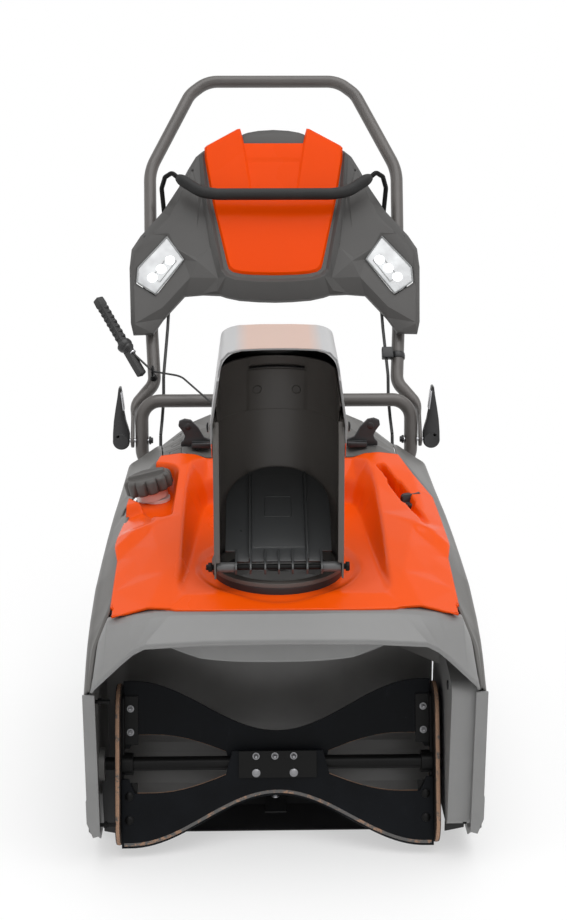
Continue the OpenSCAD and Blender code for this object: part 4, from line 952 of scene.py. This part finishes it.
# ---- chute flap ----
# A thick moulded flap hangs on a pin across the foot of the chute. It has a raised centre, a rib
# each side, seven knuckles on the pin and a bare embossed square. Grey sleeves space the pin.
flap_plastic = moulded("flap_plastic", (0.047, 0.049, 0.050), 0.28, coat=0.15, edge=0.8)
slope = math.radians(28.7)
pin_y, pin_z = -45, 433
flap_place = Matrix.Translation((chute_x, pin_y, pin_z)) @ Matrix.Rotation(slope, 4, "X")
flap_edge = [(-60, 10), (-60, 29), (-74, 29), (-74, 118)]
flap_edge += arc(0, 118, 74, 180, 0, 25)[1:-1]
flap_edge += [(74, 118), (74, 29), (60, 29), (60, 10)]
flap = [cut("flap_plate", flap_edge, -3, 0, flap_place, 0.9)]
for x in (-40, 40):
    flap.append(cut("flap_rib", [(x - 1.3, 10), (x + 1.3, 10), (x + 1.3, 176), (x - 1.3, 176)],
                    -0.5, 6.5, flap_place, 0.7))
flap.append(cut("flap_centre", [(-37, 34), (37, 34), (37, 172), (-37, 172)], -0.5, 1.2, flap_place, 0.6))
square = [(-19, 92), (19, 92), (19, 130), (-19, 130), (-19, 92)]
flap.append(swept("square", rounded([flap_place @ Vector((x, y, 1.2)) for x, y in square], 2, 3), 0.55,
                  8))
knuckle = [(-10, -4), (-10, 6), (-6, 8.5), (4, 8.5), (28, 5), (30, 2), (30, -2.5), (8, -9.5),
           (-4, -9.5)]
for x in (-58.8, -38.8, -18.8, 0, 18.8, 38.8, 58.8):
    flap.append(cut("knuckle", knuckle, 0, 2.6, flap_place @ facing_x(x - 1.3), 0.5))
fit(joined("flap_shell", flap), "chute_flap", "dark_panel", flap_plastic, "chute_flap")
sleeve_plastic = moulded("sleeve_plastic", (0.085, 0.085, 0.085), 0.36)
along_x = Matrix.Rotation(math.radians(90), 4, "Y")
sleeves = [radial("sleeve", [(4.2, 0, 0), (6.8, 0, 0), (7, 0.5, 0), (7, 24.6, 0), (6.8, 25.1, 0),
                             (4.2, 25.1, 0)],
                  Matrix.Translation((x, pin_y, pin_z)) @ along_x, sides=32) for x in (-93.3, 52)]
fit(joined("flap_sleeves", sleeves), "chute_flap", "dark_panel", sleeve_plastic)
pin_long = 197
pin = [radial("pin", [(0.5, 0, 0), (3.6, 0, 0), (4, 0.5, 0), (4, pin_long - 0.5, 0),
                      (3.6, pin_long, 0), (0.5, pin_long, 0)],
              Matrix.Translation((-108, pin_y, pin_z)) @ along_x, sides=24)]
for x in (-105, 83.5):
    pin.append(lathe("pin_end", [(1, 0), (6.4, 0), (7, 0.8), (7, 4.6), (6.4, 5.4), (1, 5.4)],
                     (x, pin_y, pin_z), (1, 0, 0), 6))
fit(joined("pin_shell", pin), "chute", "black_metal", black_paint, "flap_pin")

# ---- deflector ----
# A pale moulded hood closes the top of the chute. It tilts on two screws in the channel's ears,
# whose orange lugs show below its corners, and its top is faintly tinted orange.
def deflector_finish():
    finish = Finish("deflector_plastic", IOR=1.46, Coat_Weight=0.1, Coat_Roughness=0.1)
    clouds = finish.noise(6.0, 3.0)
    middle = finish.ramp(finish.node("ShaderNodeMath", {"operation": "ABSOLUTE"},
                                     {0: finish.across("X") + 0.008}), 0.040, 0.058, 1.0, 0.0)
    high = finish.ramp(finish.across("Z"), 0.700, 0.745)
    grey = finish.blend(finish.ramp(clouds), (0.40, 0.40, 0.405), (0.46, 0.46, 0.465))
    outside = finish.blend(middle * high * 0.55, grey, (0.66, 0.35, 0.22))
    # Painted shade: the wall faces that look at the hood's own middle are coloured near black for the
    # dark of the channel
    away = finish.node("ShaderNodeVectorMath", {"operation": "SUBTRACT"},
                       {0: finish.place, 1: (-0.008, 0.030, 0.640)})
    facing = finish.node("ShaderNodeVectorMath", {"operation": "DOT_PRODUCT"},
                         {0: away, 1: finish.facing}, "Value")
    finish.set(Base_Color=finish.blend(finish.ramp(facing, -0.004, 0.004, 1.0, 0.0), outside,
                                       (0.012, 0.012, 0.012)))
    finish.set(Roughness=finish.ramp(clouds, start=0.28, end=0.36))
    finish.bump(finish.noise(2200.0, 2.0), 0.00005, 0.4, 0.001)
    return finish.material


dress(deflector_finish(), "deflector")

# A dark liner carries the channel's curve up inside it. Shares run from its middle to its front
# edges: a half round at the back, then two straight sides.
liner_radius, round_share, side_long = 83.6, 0.62, 66
bend_z, bend_back = 634, 15
share, rise = np.meshgrid(np.linspace(-1, 1, 161), np.linspace(0, 1, 100))
from_middle = np.abs(share)
bend = np.clip(from_middle / round_share, 0, 1) * math.pi / 2
off = np.sign(share) * liner_radius * np.sin(bend)
liner_y = np.where(from_middle < round_share, chute_y + liner_radius * np.cos(bend),
                   chute_y - (from_middle - round_share) / (1 - round_share) * side_long)
crown = 694 - 34 * np.clip((from_middle - 0.30) / 0.70, 0, 1) ** 2.2
foot = 612 + 27 * np.clip((from_middle - 0.6) / 0.12, 0, 1)
foot += 16 * np.clip((from_middle - 0.78) / 0.1, 0, 1)
liner_z = foot + (crown - foot) * rise
over = np.clip((liner_z - bend_z) / 60, 0, 1)
liner_y -= bend_back * over * over * np.clip((liner_y - 20) / 60, 0, 1)
off *= 1 - 0.05 * over ** 2
liner_y += 1.6 * np.clip((43 - np.abs(off)) / 3, 0, 1) * np.clip((liner_y - 60) / 10, 0, 1)

# A slot is moulded across its back, over two round marks, and a rolled rim ends it at the top
slot_z, slot_half, slot_tall, slot_deep = 677, 41, 4.2, 2.6
liner_y += (slot_deep * np.clip((slot_half - np.abs(off)) / 1.2, 0, 1)
            * np.clip((slot_tall - np.abs(liner_z - slot_z)) / 0.8, 0, 1)
            * np.clip((liner_y - 60) / 10, 0, 1))
liner = shell("deflector_liner", chute_x + off, liner_y, liner_z, 1.6)
top_line = np.stack([chute_x + off[-1], liner_y[-1], liner_z[-1]], axis=-1)
marks = [liner, swept("liner_rim", top_line, 1.3, 10)]
for x in (-28, 28):
    mark = [(chute_x + px, chute_y + 1.2 + math.sqrt(liner_radius ** 2 - px ** 2), pz)
            for px, pz in arc(x, 642, 6, 0, 360, 33)]
    marks.append(swept("mark", mark, 0.5, 8, about=(0, 1, 0)))
fit(joined("deflector_relief", marks), "deflector", "dark_panel", chute_plastic)

# Painted shade: a black strip lies in the slot and stands in for the shadow at its floor
across = np.linspace(1.5 - slot_half, slot_half - 1.5, 41)
strip_y = (chute_y + 3.2 + np.sqrt(liner_radius ** 2 - across ** 2)
           - bend_back * ((slot_z - bend_z) / 60) ** 2)
fit(swept("slot_shade_strip", [(chute_x + px, py, slot_z) for px, py in zip(across, strip_y)], 4.0, 16,
          flat=0.4), "deflector", "black_plastic", black_moulded)

# A grey rim is rolled round the deflector's mouth
half_rim = [(90.2, -31.5, 606), (90.2, -38.4, 632), (80.0, -55.4, 699), (79.6, -62.4, 702),
            (78.2, -62.8, 713), (74.6, -62.8, 727), (66, -62.8, 736.6), (48.6, -62.8, 741.2),
            (22, -62.8, 742.4), (0, -62.8, 742.6)]
rim = [(chute_x + px, py, pz) for px, py, pz in half_rim]
rim += [(2 * chute_x - px, py, pz) for px, py, pz in reversed(rim[:-1])]
rim_plastic = moulded("rim_plastic", (0.20, 0.20, 0.20), 0.35)
fit(swept("deflector_rim", rounded(rim, 5, 5), 1.6, 12, about=(0, 1, 0)), "deflector", "light_panel",
    rim_plastic)
lug_outline = [(-34, 606), (-22, 598), (-12, 590), (-22, 582), (-33, 590)]
pivot_y, pivot_z = -15, 624
lugs, screws = [], []
for side in (-1, 1):
    lugs.append(cut("lug", lug_outline, 0, 1.3, facing_x(chute_x + side * 89.5, side), 0.4))
    screws.append(lathe("pivot_screw", [(0.5, 0), (7, 0), (6.6, 1.6), (4.5, 2.8), (0.5, 3.2)],
                        (chute_x + side * 94.8, pivot_y, pivot_z), (side, 0, 0), 24))
    screws.append(lathe("pivot_nut", [(0.5, 0), (6.4, 0), (6.4, 3.4), (0.5, 3.8)],
                        (chute_x + side * 85.8, pivot_y, pivot_z), (-side, 0, 0), 6))
lug_orange = moulded("lug_orange", (0.74, 0.06, 0.004), 0.4)
fit(joined("deflector_lugs", lugs), "chute", "orange_panel", lug_orange)
fit(joined("pivot_screws", screws), "chute", "black_metal", black_paint)

# ---- lower handle ----
# A bent steel tube in warm grey paint. Its legs are bolted to the chassis inside the side covers
# and its crossbar joins them behind the hood.
tube_paint = painted("tube_paint", (0.090, 0.082, 0.077), 0.34, worn=0.0)
leg = [(200, 545, 150), (200, 588, 285), (244, 622, 398), (244, 640, 490)]
lower_tube = swept("lower_tube", rounded(leg + [(-x, y, z) for x, y, z in reversed(leg)], 34, 10),
                   12, 32, about=(0, 1, 0))
fit(lower_tube, "chassis", "steel_frame", tube_paint, "lower_handle")

# ---- upper handle ----
# The same tube bent to a tall hoop. Its ends are pressed flat where they lie on the fold bolts,
# and it folds back and down about them.
lean_angle = 36.7
lean = math.radians(lean_angle)
fold_y, fold_z = 625, 420


def on_handle(x, s, n=0.0):
    """A point of the folding handle: across, up along it from the fold bolts, in front of it."""
    return (x, fold_y + s * math.sin(lean) - n * math.cos(lean),
            fold_z + s * math.cos(lean) + n * math.sin(lean))


low_bends = rounded([on_handle(x, s) for x, s in
                     ((261, 30), (260.5, 66), (223, 112), (230, 215), (236, 410))], 34, 10)
side_bend = rounded([on_handle(x, s) for x, s in ((236, 410), (240, 560), (202, 646))], 112, 14)
top_bends = rounded([on_handle(x, s) for x, s in ((202, 646), (164, 732), (130, 762), (0, 762))], 56, 10)
hoop = [tuple(p) for p in list(low_bends) + list(side_bend)[1:] + list(top_bends)[1:]]
from_end = np.concatenate([[0], np.cumsum(np.linalg.norm(np.diff(np.array(hoop), axis=0), axis=1))])
pressed = ease((from_end - 8) / 52)
hoop += [(-x, y, z) for x, y, z in reversed(hoop[:-1])]
pressed = np.concatenate([pressed, pressed[:-1][::-1]])
strap_half = 13
upper = [swept("hoop", hoop, 11.85, 32, flat=0.25 + 0.75 * pressed, about=(1, 0, 0),
               spread=1.08 - 0.08 * pressed)]
for side in (-1, 1):
    strap = arc(fold_y, fold_z, strap_half, 180 - lean_angle, 360 - lean_angle, 17)
    strap += [on_handle(0, 44, -strap_half)[1:], on_handle(0, 44, strap_half)[1:]]
    upper.append(cut("strap", strap, 258.2, 263.8, facing_x(0, side), 1.4))
fit(joined("upper_tube", upper), "upper_handle", "steel_frame", tube_paint, "upper_handle")

# ---- fold bolts and cam levers ----
# Each fold bolt is a plated rod with a stepped knob inside the leg. Its outer end carries a
# cross pin on which a black moulded cam lever is thrown to clamp the handle's flat end.
cam_x = 281
rods, knobs = [], []
for side in (-1, 1):
    rods.append(lathe("rod", [(0.5, 0), (4, 0), (4, 52), (3.4, 52.8), (0.5, 52.8)],
                      (side * 231.5, fold_y, fold_z), (side, 0, 0), 24))
    rods.append(lathe("cross_pin", [(0.5, 0), (3, 0), (3, 16), (0.5, 16)],
                      (side * cam_x, fold_y - 8, fold_z), (0, 1, 0), 20))
    knobs.append(lathe("knob", [(0.5, 0), (4.6, 0), (5.4, 0.8), (5.4, 3.2), (7.2, 3.6), (7.4, 4.4),
                                (7.4, 7.0), (0.5, 7.5)], (side * 224, fold_y, fold_z), (side, 0, 0), 28))
fit(joined("fold_bolts", rods), "chassis", "bare_steel", plated, "clamp_bolts")
fit(joined("bolt_knobs", knobs), "chassis", "black_plastic", black_moulded)
lever_plastic = moulded("lever_plastic", (0.020, 0.020, 0.021), 0.30, coat=0.12, edge=0.8)
for side, word in ((-1, "left"), (1, "right")):
    face = Matrix(((side, 0, 0, 0), (0, 0, 1, fold_y), (0, 1, 0, 0), (0, 0, 0, 1)))
    base = arc(cam_x, fold_z, 15.4, 170, 370, 29)
    tip = arc(280.6, 517.6, 2.6, 6, 188, 13)
    whole = base[4:] + [(295.6, 436), (293.4, 458), (289.4, 482), (285.4, 503)] + tip
    whole += [(277.2, 506), (276, 490), (274.6, 474), (272, 458), (268.2, 444), (265.8, 432)]
    upper_part = [(294, 427), (293.4, 458), (289.4, 482), (285.4, 503)] + tip
    upper_part += [(279.4, 506), (278.2, 490), (276.6, 474), (272, 458), (268.2, 444), (266.5, 427)]
    layers = [cut("cheek", whole, -8, -4.6, face, 1.3), cut("cheek", whole, 4.6, 8, face, 1.3),
              cut("core", upper_part, -5, 5, face, 0.6)]
    for place in (-8.3, 7.7):
        layers.append(lathe("boss", [(1.7, 0), (2.9, 0), (2.9, 0.6), (1.7, 0.6)],
                            (side * 287, fold_y + place, 430), (0, 1, 0), 24))
        layers.append(lathe("cam_line", [(12.4, 0), (13.2, 0), (13.2, 0.6), (12.4, 0.6)],
                            (side * cam_x, fold_y + place, fold_z), (0, 1, 0), 48))
    lever = "cam_lever_" + word
    fit(joined("lever_shell_" + word, layers), lever, "black_plastic", lever_plastic, lever)
    fit(cut("lever_plate_" + word, [(273.6, 478), (276.2, 478), (279.6, 512), (276.6, 511)],
            -8.4, 8.4, face, 0.5), lever, "bare_steel", plated)

# ---- dash panel ----
# A grey moulding with two folded wings is saddled on the handle tubes. A rounded frame runs down
# both sides of the orange cover and round a brow below it. Each wing holds a work lamp.
def within(point, loop):
    """Whether a point of a plane lies inside a closed loop."""
    inside = False
    for a, b in zip(loop, loop[1:] + loop[:1]):
        if (a[1] > point[1]) != (b[1] > point[1]) and \
                point[0] < a[0] + (point[1] - a[1]) * (b[0] - a[0]) / (b[1] - a[1]):
            inside = not inside
    return inside


def faceted(name, lines, outline, holes=(), depth=3.0, fillet=2.4, drop=0.0):
    """A folded moulding on the handle: flat facets between design lines of (across, along, out)
    inside an outline and its mirror image, with a wall behind and every fold rounded."""
    border = outline + [(-x, s, n) for x, s, n in reversed(outline) if x > 0]
    holes = mirrored(list(holes))
    points, edges = [], []
    for loop in [border] + holes:
        start = len(points)
        points += loop
        edges += [(start + i, start + (i + 1) % len(loop)) for i in range(len(loop))]
    for line in mirrored(lines):
        start = len(points)
        points += line
        edges += [(start + i, start + i + 1) for i in range(len(line) - 1)]
    flat, _, faces, origin, _, _ = geometry.delaunay_2d_cdt([Vector(p[:2]) for p in points], edges,
                                                           [], 1, 0.01)
    faces = [face for face in faces
             if not any(within(sum((flat[i] for i in face), Vector((0, 0))) / len(face), hole)
                        for hole in holes)]
    work = bmesh.new()
    corners = [work.verts.new((*p, points[o[0]][2] if o else 0.0)) for p, o in zip(flat, origin)]
    for face in faces:
        if len(set(face)) > 2:
            work.faces.new([corners[i] for i in dict.fromkeys(face)])
    for p, o, corner in zip(flat, origin, corners):
        if not o:
            near = [e.other_vert(corner) for e in corner.link_edges]
            corner.co.z = sum(v.co.z for v in near) / max(1, len(near))
    bmesh.ops.recalc_face_normals(work, faces=work.faces)
    if sum(f.normal.z for f in work.faces) < 0:
        bmesh.ops.reverse_faces(work, faces=work.faces)
    bmesh.ops.dissolve_limit(work, angle_limit=math.radians(1.5), verts=work.verts,
                             edges=[e for e in work.edges if not e.is_boundary])
    rim = [e for e in work.edges if e.is_boundary]
    grown = bmesh.ops.extrude_edge_only(work, edges=rim)["geom"]
    skirt = [v for v in grown if isinstance(v, bmesh.types.BMVert)]
    bmesh.ops.translate(work, vec=(0, 0, -depth), verts=skirt)
    if drop:
        for v in skirt:
            v.co.z = min(v.co.z, drop)
    bmesh.ops.recalc_face_normals(work, faces=work.faces)
    folds = [e for e in work.edges if not e.is_boundary and e.calc_face_angle(0) > math.radians(7)]
    bmesh.ops.bevel(work, geom=folds, offset=fillet, segments=4, profile=0.5, affect="EDGES",
                    clamp_overlap=True, loop_slide=True)
    for v in work.verts:
        v.co = Vector(on_handle(*v.co)) / 1000
    piece = walled(finished(name, work, 50), 2.0)
    piece.data.set_sharp_from_angle(angle=math.radians(50))
    return piece


panel_edge = [(0, 263, 34), (31, 264, 34), (66, 267, 33), (90, 273, 31), (102, 278, 30),
              (134, 280, 29), (168, 277, 29), (207, 229, 30), (225, 199, 31), (262, 198, 31),
              (267, 220, 31), (270, 292, 30), (272, 333, 30), (269, 372, 30), (253, 400, 30),
              (212, 452, 30), (182, 505, 30), (165, 540, 34), (150, 566, 38), (136, 578, 40),
              (120, 588, 38), (60, 600, 36), (0, 600, 36)]
bevel_line = [(146, 568, 41), (163, 523, 44), (184, 464, 43), (198, 435, 42), (231, 398, 41),
              (261, 364, 40), (262, 288, 39), (258, 213, 38)]
ridge_line = [(156, 535, 45), (144, 475, 46), (146, 408, 45), (147, 348, 43)]
lamp_ridge = [(187, 460, 43), (194, 426, 43), (199, 400, 42)]
frame_base = [(143, 568, 42), (138, 480, 42), (121, 371, 42), (106, 306, 41), (108, 282, 36)]
frame_crest = [(137, 568, 50), (130, 477, 51), (107, 355, 51), (101, 318, 51), (91, 305, 51),
               (74, 298, 51), (36, 294, 51), (0, 293, 51)]
frame_inner = [(133, 568, 44), (123, 477, 44), (101, 355, 44), (95, 324, 44), (85, 313, 44),
               (70, 307, 44), (36, 304, 44), (0, 303, 44)]
low_ridge = [(107, 306, 41), (158, 307, 42), (208, 247, 40), (258, 216, 38)]
lamp_bed = [(170, 345, 39), (222, 271, 38), (259, 298, 38), (258, 329, 38), (203, 396, 40)]
lamp_arm = [(203, 378, 44), (197, 377, 47), (144, 338, 46)]
panel = faceted("dash_shell", [bevel_line, ridge_line, lamp_ridge, frame_base, frame_crest,
                               frame_inner, low_ridge, lamp_arm], panel_edge, [lamp_bed],
                depth=8, drop=24)
dash_plastic = moulded("dash_plastic", (0.074, 0.072, 0.070), 0.38, shine=0.25)
fit(panel, "upper_handle", "dark_panel", dash_plastic, "dash_panel")

# Black backing behind the panel and in the gap round the cover, and the saddles on the tubes
handle_plane = Matrix(((1, 0, 0, 0), (0, math.sin(lean), -math.cos(lean), fold_y),
                       (0, math.cos(lean), math.sin(lean), fold_z), (0, 0, 0, 1)))
saddles = [cut("dash_backing", [(-118, 560), (-84, 316), (-66, 304), (0, 300), (66, 304), (84, 316),
                                (118, 560), (60, 592), (-60, 592)], 36, 39, handle_plane, 0.6)]
for side in (-1, 1):
    for x, s, wide, tall in ((234, 305, 12, 16), (238, 388, 9, 12)):
        saddles.append(cut("saddle", [(side * x - wide, s - tall), (side * x + wide, s - tall),
                                      (side * x + wide, s + tall), (side * x - wide, s + tall)],
                           12.4, 36, handle_plane, 2))
    saddles.append(cut("bail_lug", [(side * 214.5, 362), (side * 218.5, 362), (side * 218.5, 382),
                                    (side * 214.5, 382)], -8, 34, handle_plane, 0.8))
fit(joined("dash_backing", saddles), "upper_handle", "dark_panel", black_moulded)

# Display hood: the grey arched top behind the cover's cut-out
display = faceted("display_hood", [[(40, 612, 41), (0, 614, 41)]],
                  [(0, 586, 42), (59, 586, 42), (63, 600, 41), (61, 617, 38), (50, 622, 37),
                   (29, 627, 36), (0, 629, 36)], depth=14)
fit(display, "upper_handle", "dark_panel", dash_plastic)

# ---- dash cover ----
# The orange cover snaps into the frame. Two fins stand up at its top, its middle is dished, and
# its lower corners are rounded over.
cover_edge = [(0, 309, 43), (40, 310, 43), (62, 312, 43), (79, 316, 43), (87, 323, 43),
              (90, 334, 43), (116, 457, 43), (121, 489, 44), (132, 556, 44), (133, 583, 44),
              (129, 588, 44), (70, 625, 44), (64, 626, 44), (61, 614, 44), (57, 593, 44),
              (0, 593, 44)]
cover_in = [(0, 314, 48.5), (40, 315, 48.5), (62, 317, 48.5), (76, 321, 48.5), (83, 328, 48.5),
            (86, 337, 48.5), (112, 458, 49), (117, 489, 50), (128, 556, 51), (129, 580, 51),
            (125, 585, 51), (69, 620, 51), (65, 618, 51), (61, 593, 51)]
fin_inner = [(61, 593, 51), (46, 488, 50.5), (50, 476, 49.6), (114, 474, 49.6)]
dish = [(57, 591, 47), (42, 488, 47.6), (40, 478, 48.2), (0, 476, 48.2)]
band = [(53, 560, 47), (0, 560, 47)]
band_low = [(50, 551, 45.6), (0, 551, 45.6)]
lower_top = [(113, 466, 49), (44, 465, 49), (0, 464, 49)]
cover_orange = gloss_orange("cover_orange", (0.80, 0.064, 0.0006), 0.05)
cover_shell = faceted("dash_cover_shell", [cover_in, fin_inner, dish, band, band_low, lower_top],
                      cover_edge, depth=3, fillet=1.6)
fit(cover_shell, "upper_handle", "orange_panel", cover_orange, "dash_cover")

# ---- work lamps ----
# Each lamp is a wavy clear polycarbonate cover over a bright reflector with three lit LEDs. A grey
# bezel frames the cover, and a thinner one frames the LEDs.
def lamp_light():
    """Wavy clear plastic over a bright reflector."""
    finish = Finish("lamp_lens", IOR=1.5, Coat_Weight=0.5, Coat_Roughness=0.05)
    flow = finish.noise(30.0, 2.0, 0.5)
    finish.set(Base_Color=finish.blend(finish.ramp(flow, 0.35, 0.65), (0.42, 0.43, 0.44),
                                       (0.52, 0.54, 0.55)))
    finish.set(Roughness=finish.ramp(flow, start=0.12, end=0.3), Emission_Strength=0.18)
    finish.set(Emission_Color=finish.blend(finish.ramp(flow, 0.35, 0.65), (0.5, 0.5, 0.5), (1, 1, 1)))
    finish.bump(flow, 0.0003, 0.5)
    return finish.material


def lit_led():
    """A white LED that is on."""
    finish = Finish("lit_led", IOR=1.5, Roughness=0.2, Emission_Strength=1.0)
    flow = finish.noise(300.0, 2.0)
    finish.set(Base_Color=finish.blend(flow, (0.9, 0.92, 0.95), (1.0, 1.0, 1.0)))
    finish.set(Emission_Color=finish.blend(flow, (0.98, 0.99, 1.0), (1.0, 1.0, 1.0)))
    finish.bump(flow, 0.0002, 0.3)
    return finish.material


lens_finish = lamp_light()
led_finish = lit_led()
bezel_finish = moulded("lamp_bezel", (0.30, 0.31, 0.31), 0.25, coat=0.4)
for side, word in ((-1, "left"), (1, "right")):
    outer = [(side * x, s) for x, s in [(202, 392), (171, 345), (222, 274), (256, 298), (255, 327)]]
    if side > 0:
        outer.reverse()
    middle = np.mean(outer, axis=0)
    lens = cut("lens", [tuple(middle + (np.array(p) - middle) * 0.985) for p in outer], 33, 41.5,
               handle_plane, 1.4)
    fit(lens, "upper_handle", "white_plastic", lens_finish, "headlight_" + word)
    bezel = [swept("bezel", [on_handle(*p, 42.2) for p in outer + [outer[0]]], 1.3, 8)]
    chip = [(side * x, s) for x, s in [(199, 352), (184, 342), (214, 298), (229, 308)]]
    bezel.append(swept("chip_frame", [on_handle(*p, 42.4) for p in chip + [chip[0]]], 0.8, 8))
    fit(joined("lamp_bezel_" + word, bezel), "upper_handle", "dark_panel", bezel_finish)
    leds = [radial("led", [(1, 0, 0), (9.5, 0, 0), (9.0, 1.4, 0), (6, 2.4, 0), (1, 2.8, 0)],
                   handle_plane @ Matrix.Translation((side * x, s, 41.6)), sides=32)
            for x, s in ((196, 343), (212, 325), (228, 307))]
    fit(joined("lamp_leds_" + word, leds), "upper_handle", "white_plastic", led_finish)

# ---- bail ----
# A thin black steel rod pivots in the panel's lugs. It bows forward over the cover, where a foam
# sleeve makes the bar that both hands squeeze.
sweep_half = [(221.5, 372, 2), (205, 372, 2), (210, 458, 6), (214, 498, 38), (206, 506, 66),
              (192, 507, 80), (182, 497.5, 80), (138, 466, 80), (108, 461, 80)]
bail_line = [on_handle(*p) for p in sweep_half + [(-x, s, n) for x, s, n in reversed(sweep_half)]]
fit(swept("bail_rod", rounded(bail_line, 9, 6), 4.5, 20, about=(0, 0.7, 0.7)), "bail", "black_metal",
    black_paint, "bail")
foam_half = sweep_half[-3:]
foam_line = np.array(rounded([on_handle(*p) for p in foam_half
                              + [(-x, s, n) for x, s, n in reversed(foam_half)]], 62, 16))
steps = np.concatenate([[0], np.cumsum(np.linalg.norm(np.diff(foam_line, axis=0), axis=1))])
fine = np.linspace(0, steps[-1], 260)
foam_line = np.stack([np.interp(fine, steps, foam_line[:, i]) for i in range(3)], axis=1)
from_tip = np.minimum(fine, steps[-1] - fine)
foam_size = 10.9 - 4.6 * np.clip(1 - from_tip / 14.0, 0, 1) ** 2


def foam():
    """Black closed-cell foam with a fine grain."""
    finish = Finish("foam_finish", IOR=1.42)
    cells = finish.noise(900.0, 3.0, 0.6)
    finish.set(Base_Color=finish.blend(finish.ramp(finish.noise(16.0, 5.0)), (0.009, 0.009, 0.009),
                                       (0.015, 0.015, 0.015)))
    finish.set(Roughness=finish.ramp(cells, start=0.55, end=0.75))
    finish.bump(cells, 0.00012, 0.6)
    return finish.material


fit(swept("foam_sleeve", foam_line, foam_size, 32, about=(0, 0.7, 0.7)), "bail", "black_plastic",
    foam(), "bail_grip")

# ---- rope guide and starter grip ----
# A wire hook stands on the left tube. The starter rope passes through its eye to a ribbed black
# grip, whose hub sits in the hook with a plated ring about it.
hook_x, hook_s = -224, 118
guide = swept("hook", [on_handle(hook_x, hook_s, 12.4), on_handle(hook_x, hook_s, 32)], 3, 16,
              about=(1, 0, 0))
eye = Vector(on_handle(hook_x, hook_s, 42))
ring = [(eye.x, py, pz) for py, pz in arc(eye.y, eye.z, 8.5, 0, 360, 33)]
foot = lathe("hook_foot", [(0.5, 0), (7, 0), (7, 1.2), (5, 4.6), (3, 5)], on_handle(hook_x, hook_s, 12.3),
             Vector(on_handle(0, 0, 1)) - Vector(on_handle(0, 0, 0)), 28)
fit(joined("hook_guide", [guide, foot, swept("hook_eye", ring, 2.4, 14, about=(1, 0, 0))]),
    "upper_handle", "black_metal", black_paint, "rope_guide")
top, low = Vector((-329, 759, 655)), Vector((-244, 667, 532))
along_grip = (low - top).normalized()
length = (low - top).length
grip_front = Vector((0, -1, 0.3)).normalized()
across_grip = along_grip.cross(grip_front).normalized()
heights = np.array([0, 0.8, 2.5, 16, 17.5, 19, length - 22, length - 2.5, length - 0.8, length])
sizes = np.array([8.2, 9.5, 10.2, 10.8, 10.4, 9.4, 9.4, 9.2, 8.8, 7.6])
bar = swept("grip_bar", [top + along_grip * h for h in heights], sizes, 4, flat=0.80,
            about=tuple(grip_front))
ribs = []
for h in range(24, 118, 11):
    for way in (-1, 1):
        place = top + along_grip * h
        ribs.append(swept("rib", [place + across_grip * way * r for r in (3.0, 7.0, 9.2, 10.4)],
                          [4.6, 4.6, 3.6, 1.6], 20, about=tuple(along_grip), spread=1.25))
middle = top.lerp(low, 0.62)
toward = (eye - middle).normalized()
reach = (eye - middle).length
hub = lathe("hub", [(0.5, -6), (12.5, -6), (14.2, -4.5), (14.6, -1), (14.2, 3), (12.6, 5.5), (11.8, 6.4),
                    (11.8, 9.6), (10.6, 11.4), (8.2, 14), (6.0, 18), (5.2, 22), (3.4, 24), (1.9, 24),
                    (1.9, reach - 6.2), (0.5, reach - 6)],
            middle, toward, 32)
grip_rubber = moulded("grip_plastic", (0.018, 0.018, 0.018), 0.4, edge=0.8)
fit(joined("grip_shell", [bar, hub] + ribs), "starter_grip",
    "black_plastic", grip_rubber, "starter_grip")
fit(lathe("hub_ring", [(4.4, 20.6), (6.6, 20.6), (6.6, 22.6), (4.0, 23.8)], middle, toward, 32),
    "starter_grip", "bare_steel", plated)

# ---- control cables ----
# Two black sheathed cables run down the tubes from the panel to the chassis. They are split at the
# fold. Plated fittings crimp the rod's right end, and a moulded clip holds the right cable.
sheath = moulded("cable_sheath", (0.014, 0.014, 0.014), 0.42, edge=0.8)
upper_cables, lower_runs, ends = [], [], []
for side in (-1, 1):
    line = [(198, 262, 14.7), (200, 215, 13.6), (206, 120, 14), (206, 80, 2), (208, 40, 2), (210, 8, 6)]
    line = rounded([on_handle(side * x, s, n) for x, s, n in line], 30, 8)
    upper_cables.append(swept("cable", line, 2.9, 16, about=(1, 0, 0)))
    fall = [on_handle(side * 210, 6.8, 6), on_handle(side * 210, -14, 0), (side * 196, 600, 350),
            (side * 170, 580, 240), (side * 150, 524, 150)]
    lower_runs.append(swept("cable", rounded(fall, 30, 8), 2.9, 16, about=(1, 0, 0)))
for start, stop in (((209.0, 440, 5.2), (209.6, 449, 5.6)), ((206.2, 394, 3.1), (207.2, 409, 3.7))):
    start, stop = Vector(on_handle(*start)), Vector(on_handle(*stop))
    high = (stop - start).length
    ends.append(lathe("fitting", [(4.4, 0), (5.9, 0.4), (5.9, 2.4), (5.0, 2.8), (5.0, high - 3),
                                  (5.9, high - 2.6), (5.9, high - 0.4), (4.4, high)], start,
                      stop - start, 24))
clip_s, clip_half = 164, 11
clip = cut("clip", [(196, clip_s - clip_half), (217, clip_s - clip_half), (217, clip_s + clip_half),
                    (196, clip_s + clip_half)], 8, 21, handle_plane, 2)
band = [on_handle(px, clip_s, n) for px, n in arc(226.6, 0, 12.9, 0, 360, 29)]
clip_band = swept("clip_band", band, 1.0, 8, about=(0, 0.6, 0.8), flat=6.0)
fit(joined("upper_cable_runs", upper_cables), "upper_handle", "black_plastic", sheath, "handle_cables")
fit(joined("lower_cable_runs", lower_runs), "chassis", "black_plastic", sheath, "lower_cables")
fit(joined("rod_fittings", ends), "bail", "bare_steel", plated)
fit(joined("cable_clips", [clip, clip_band]), "upper_handle", "black_plastic", black_moulded)
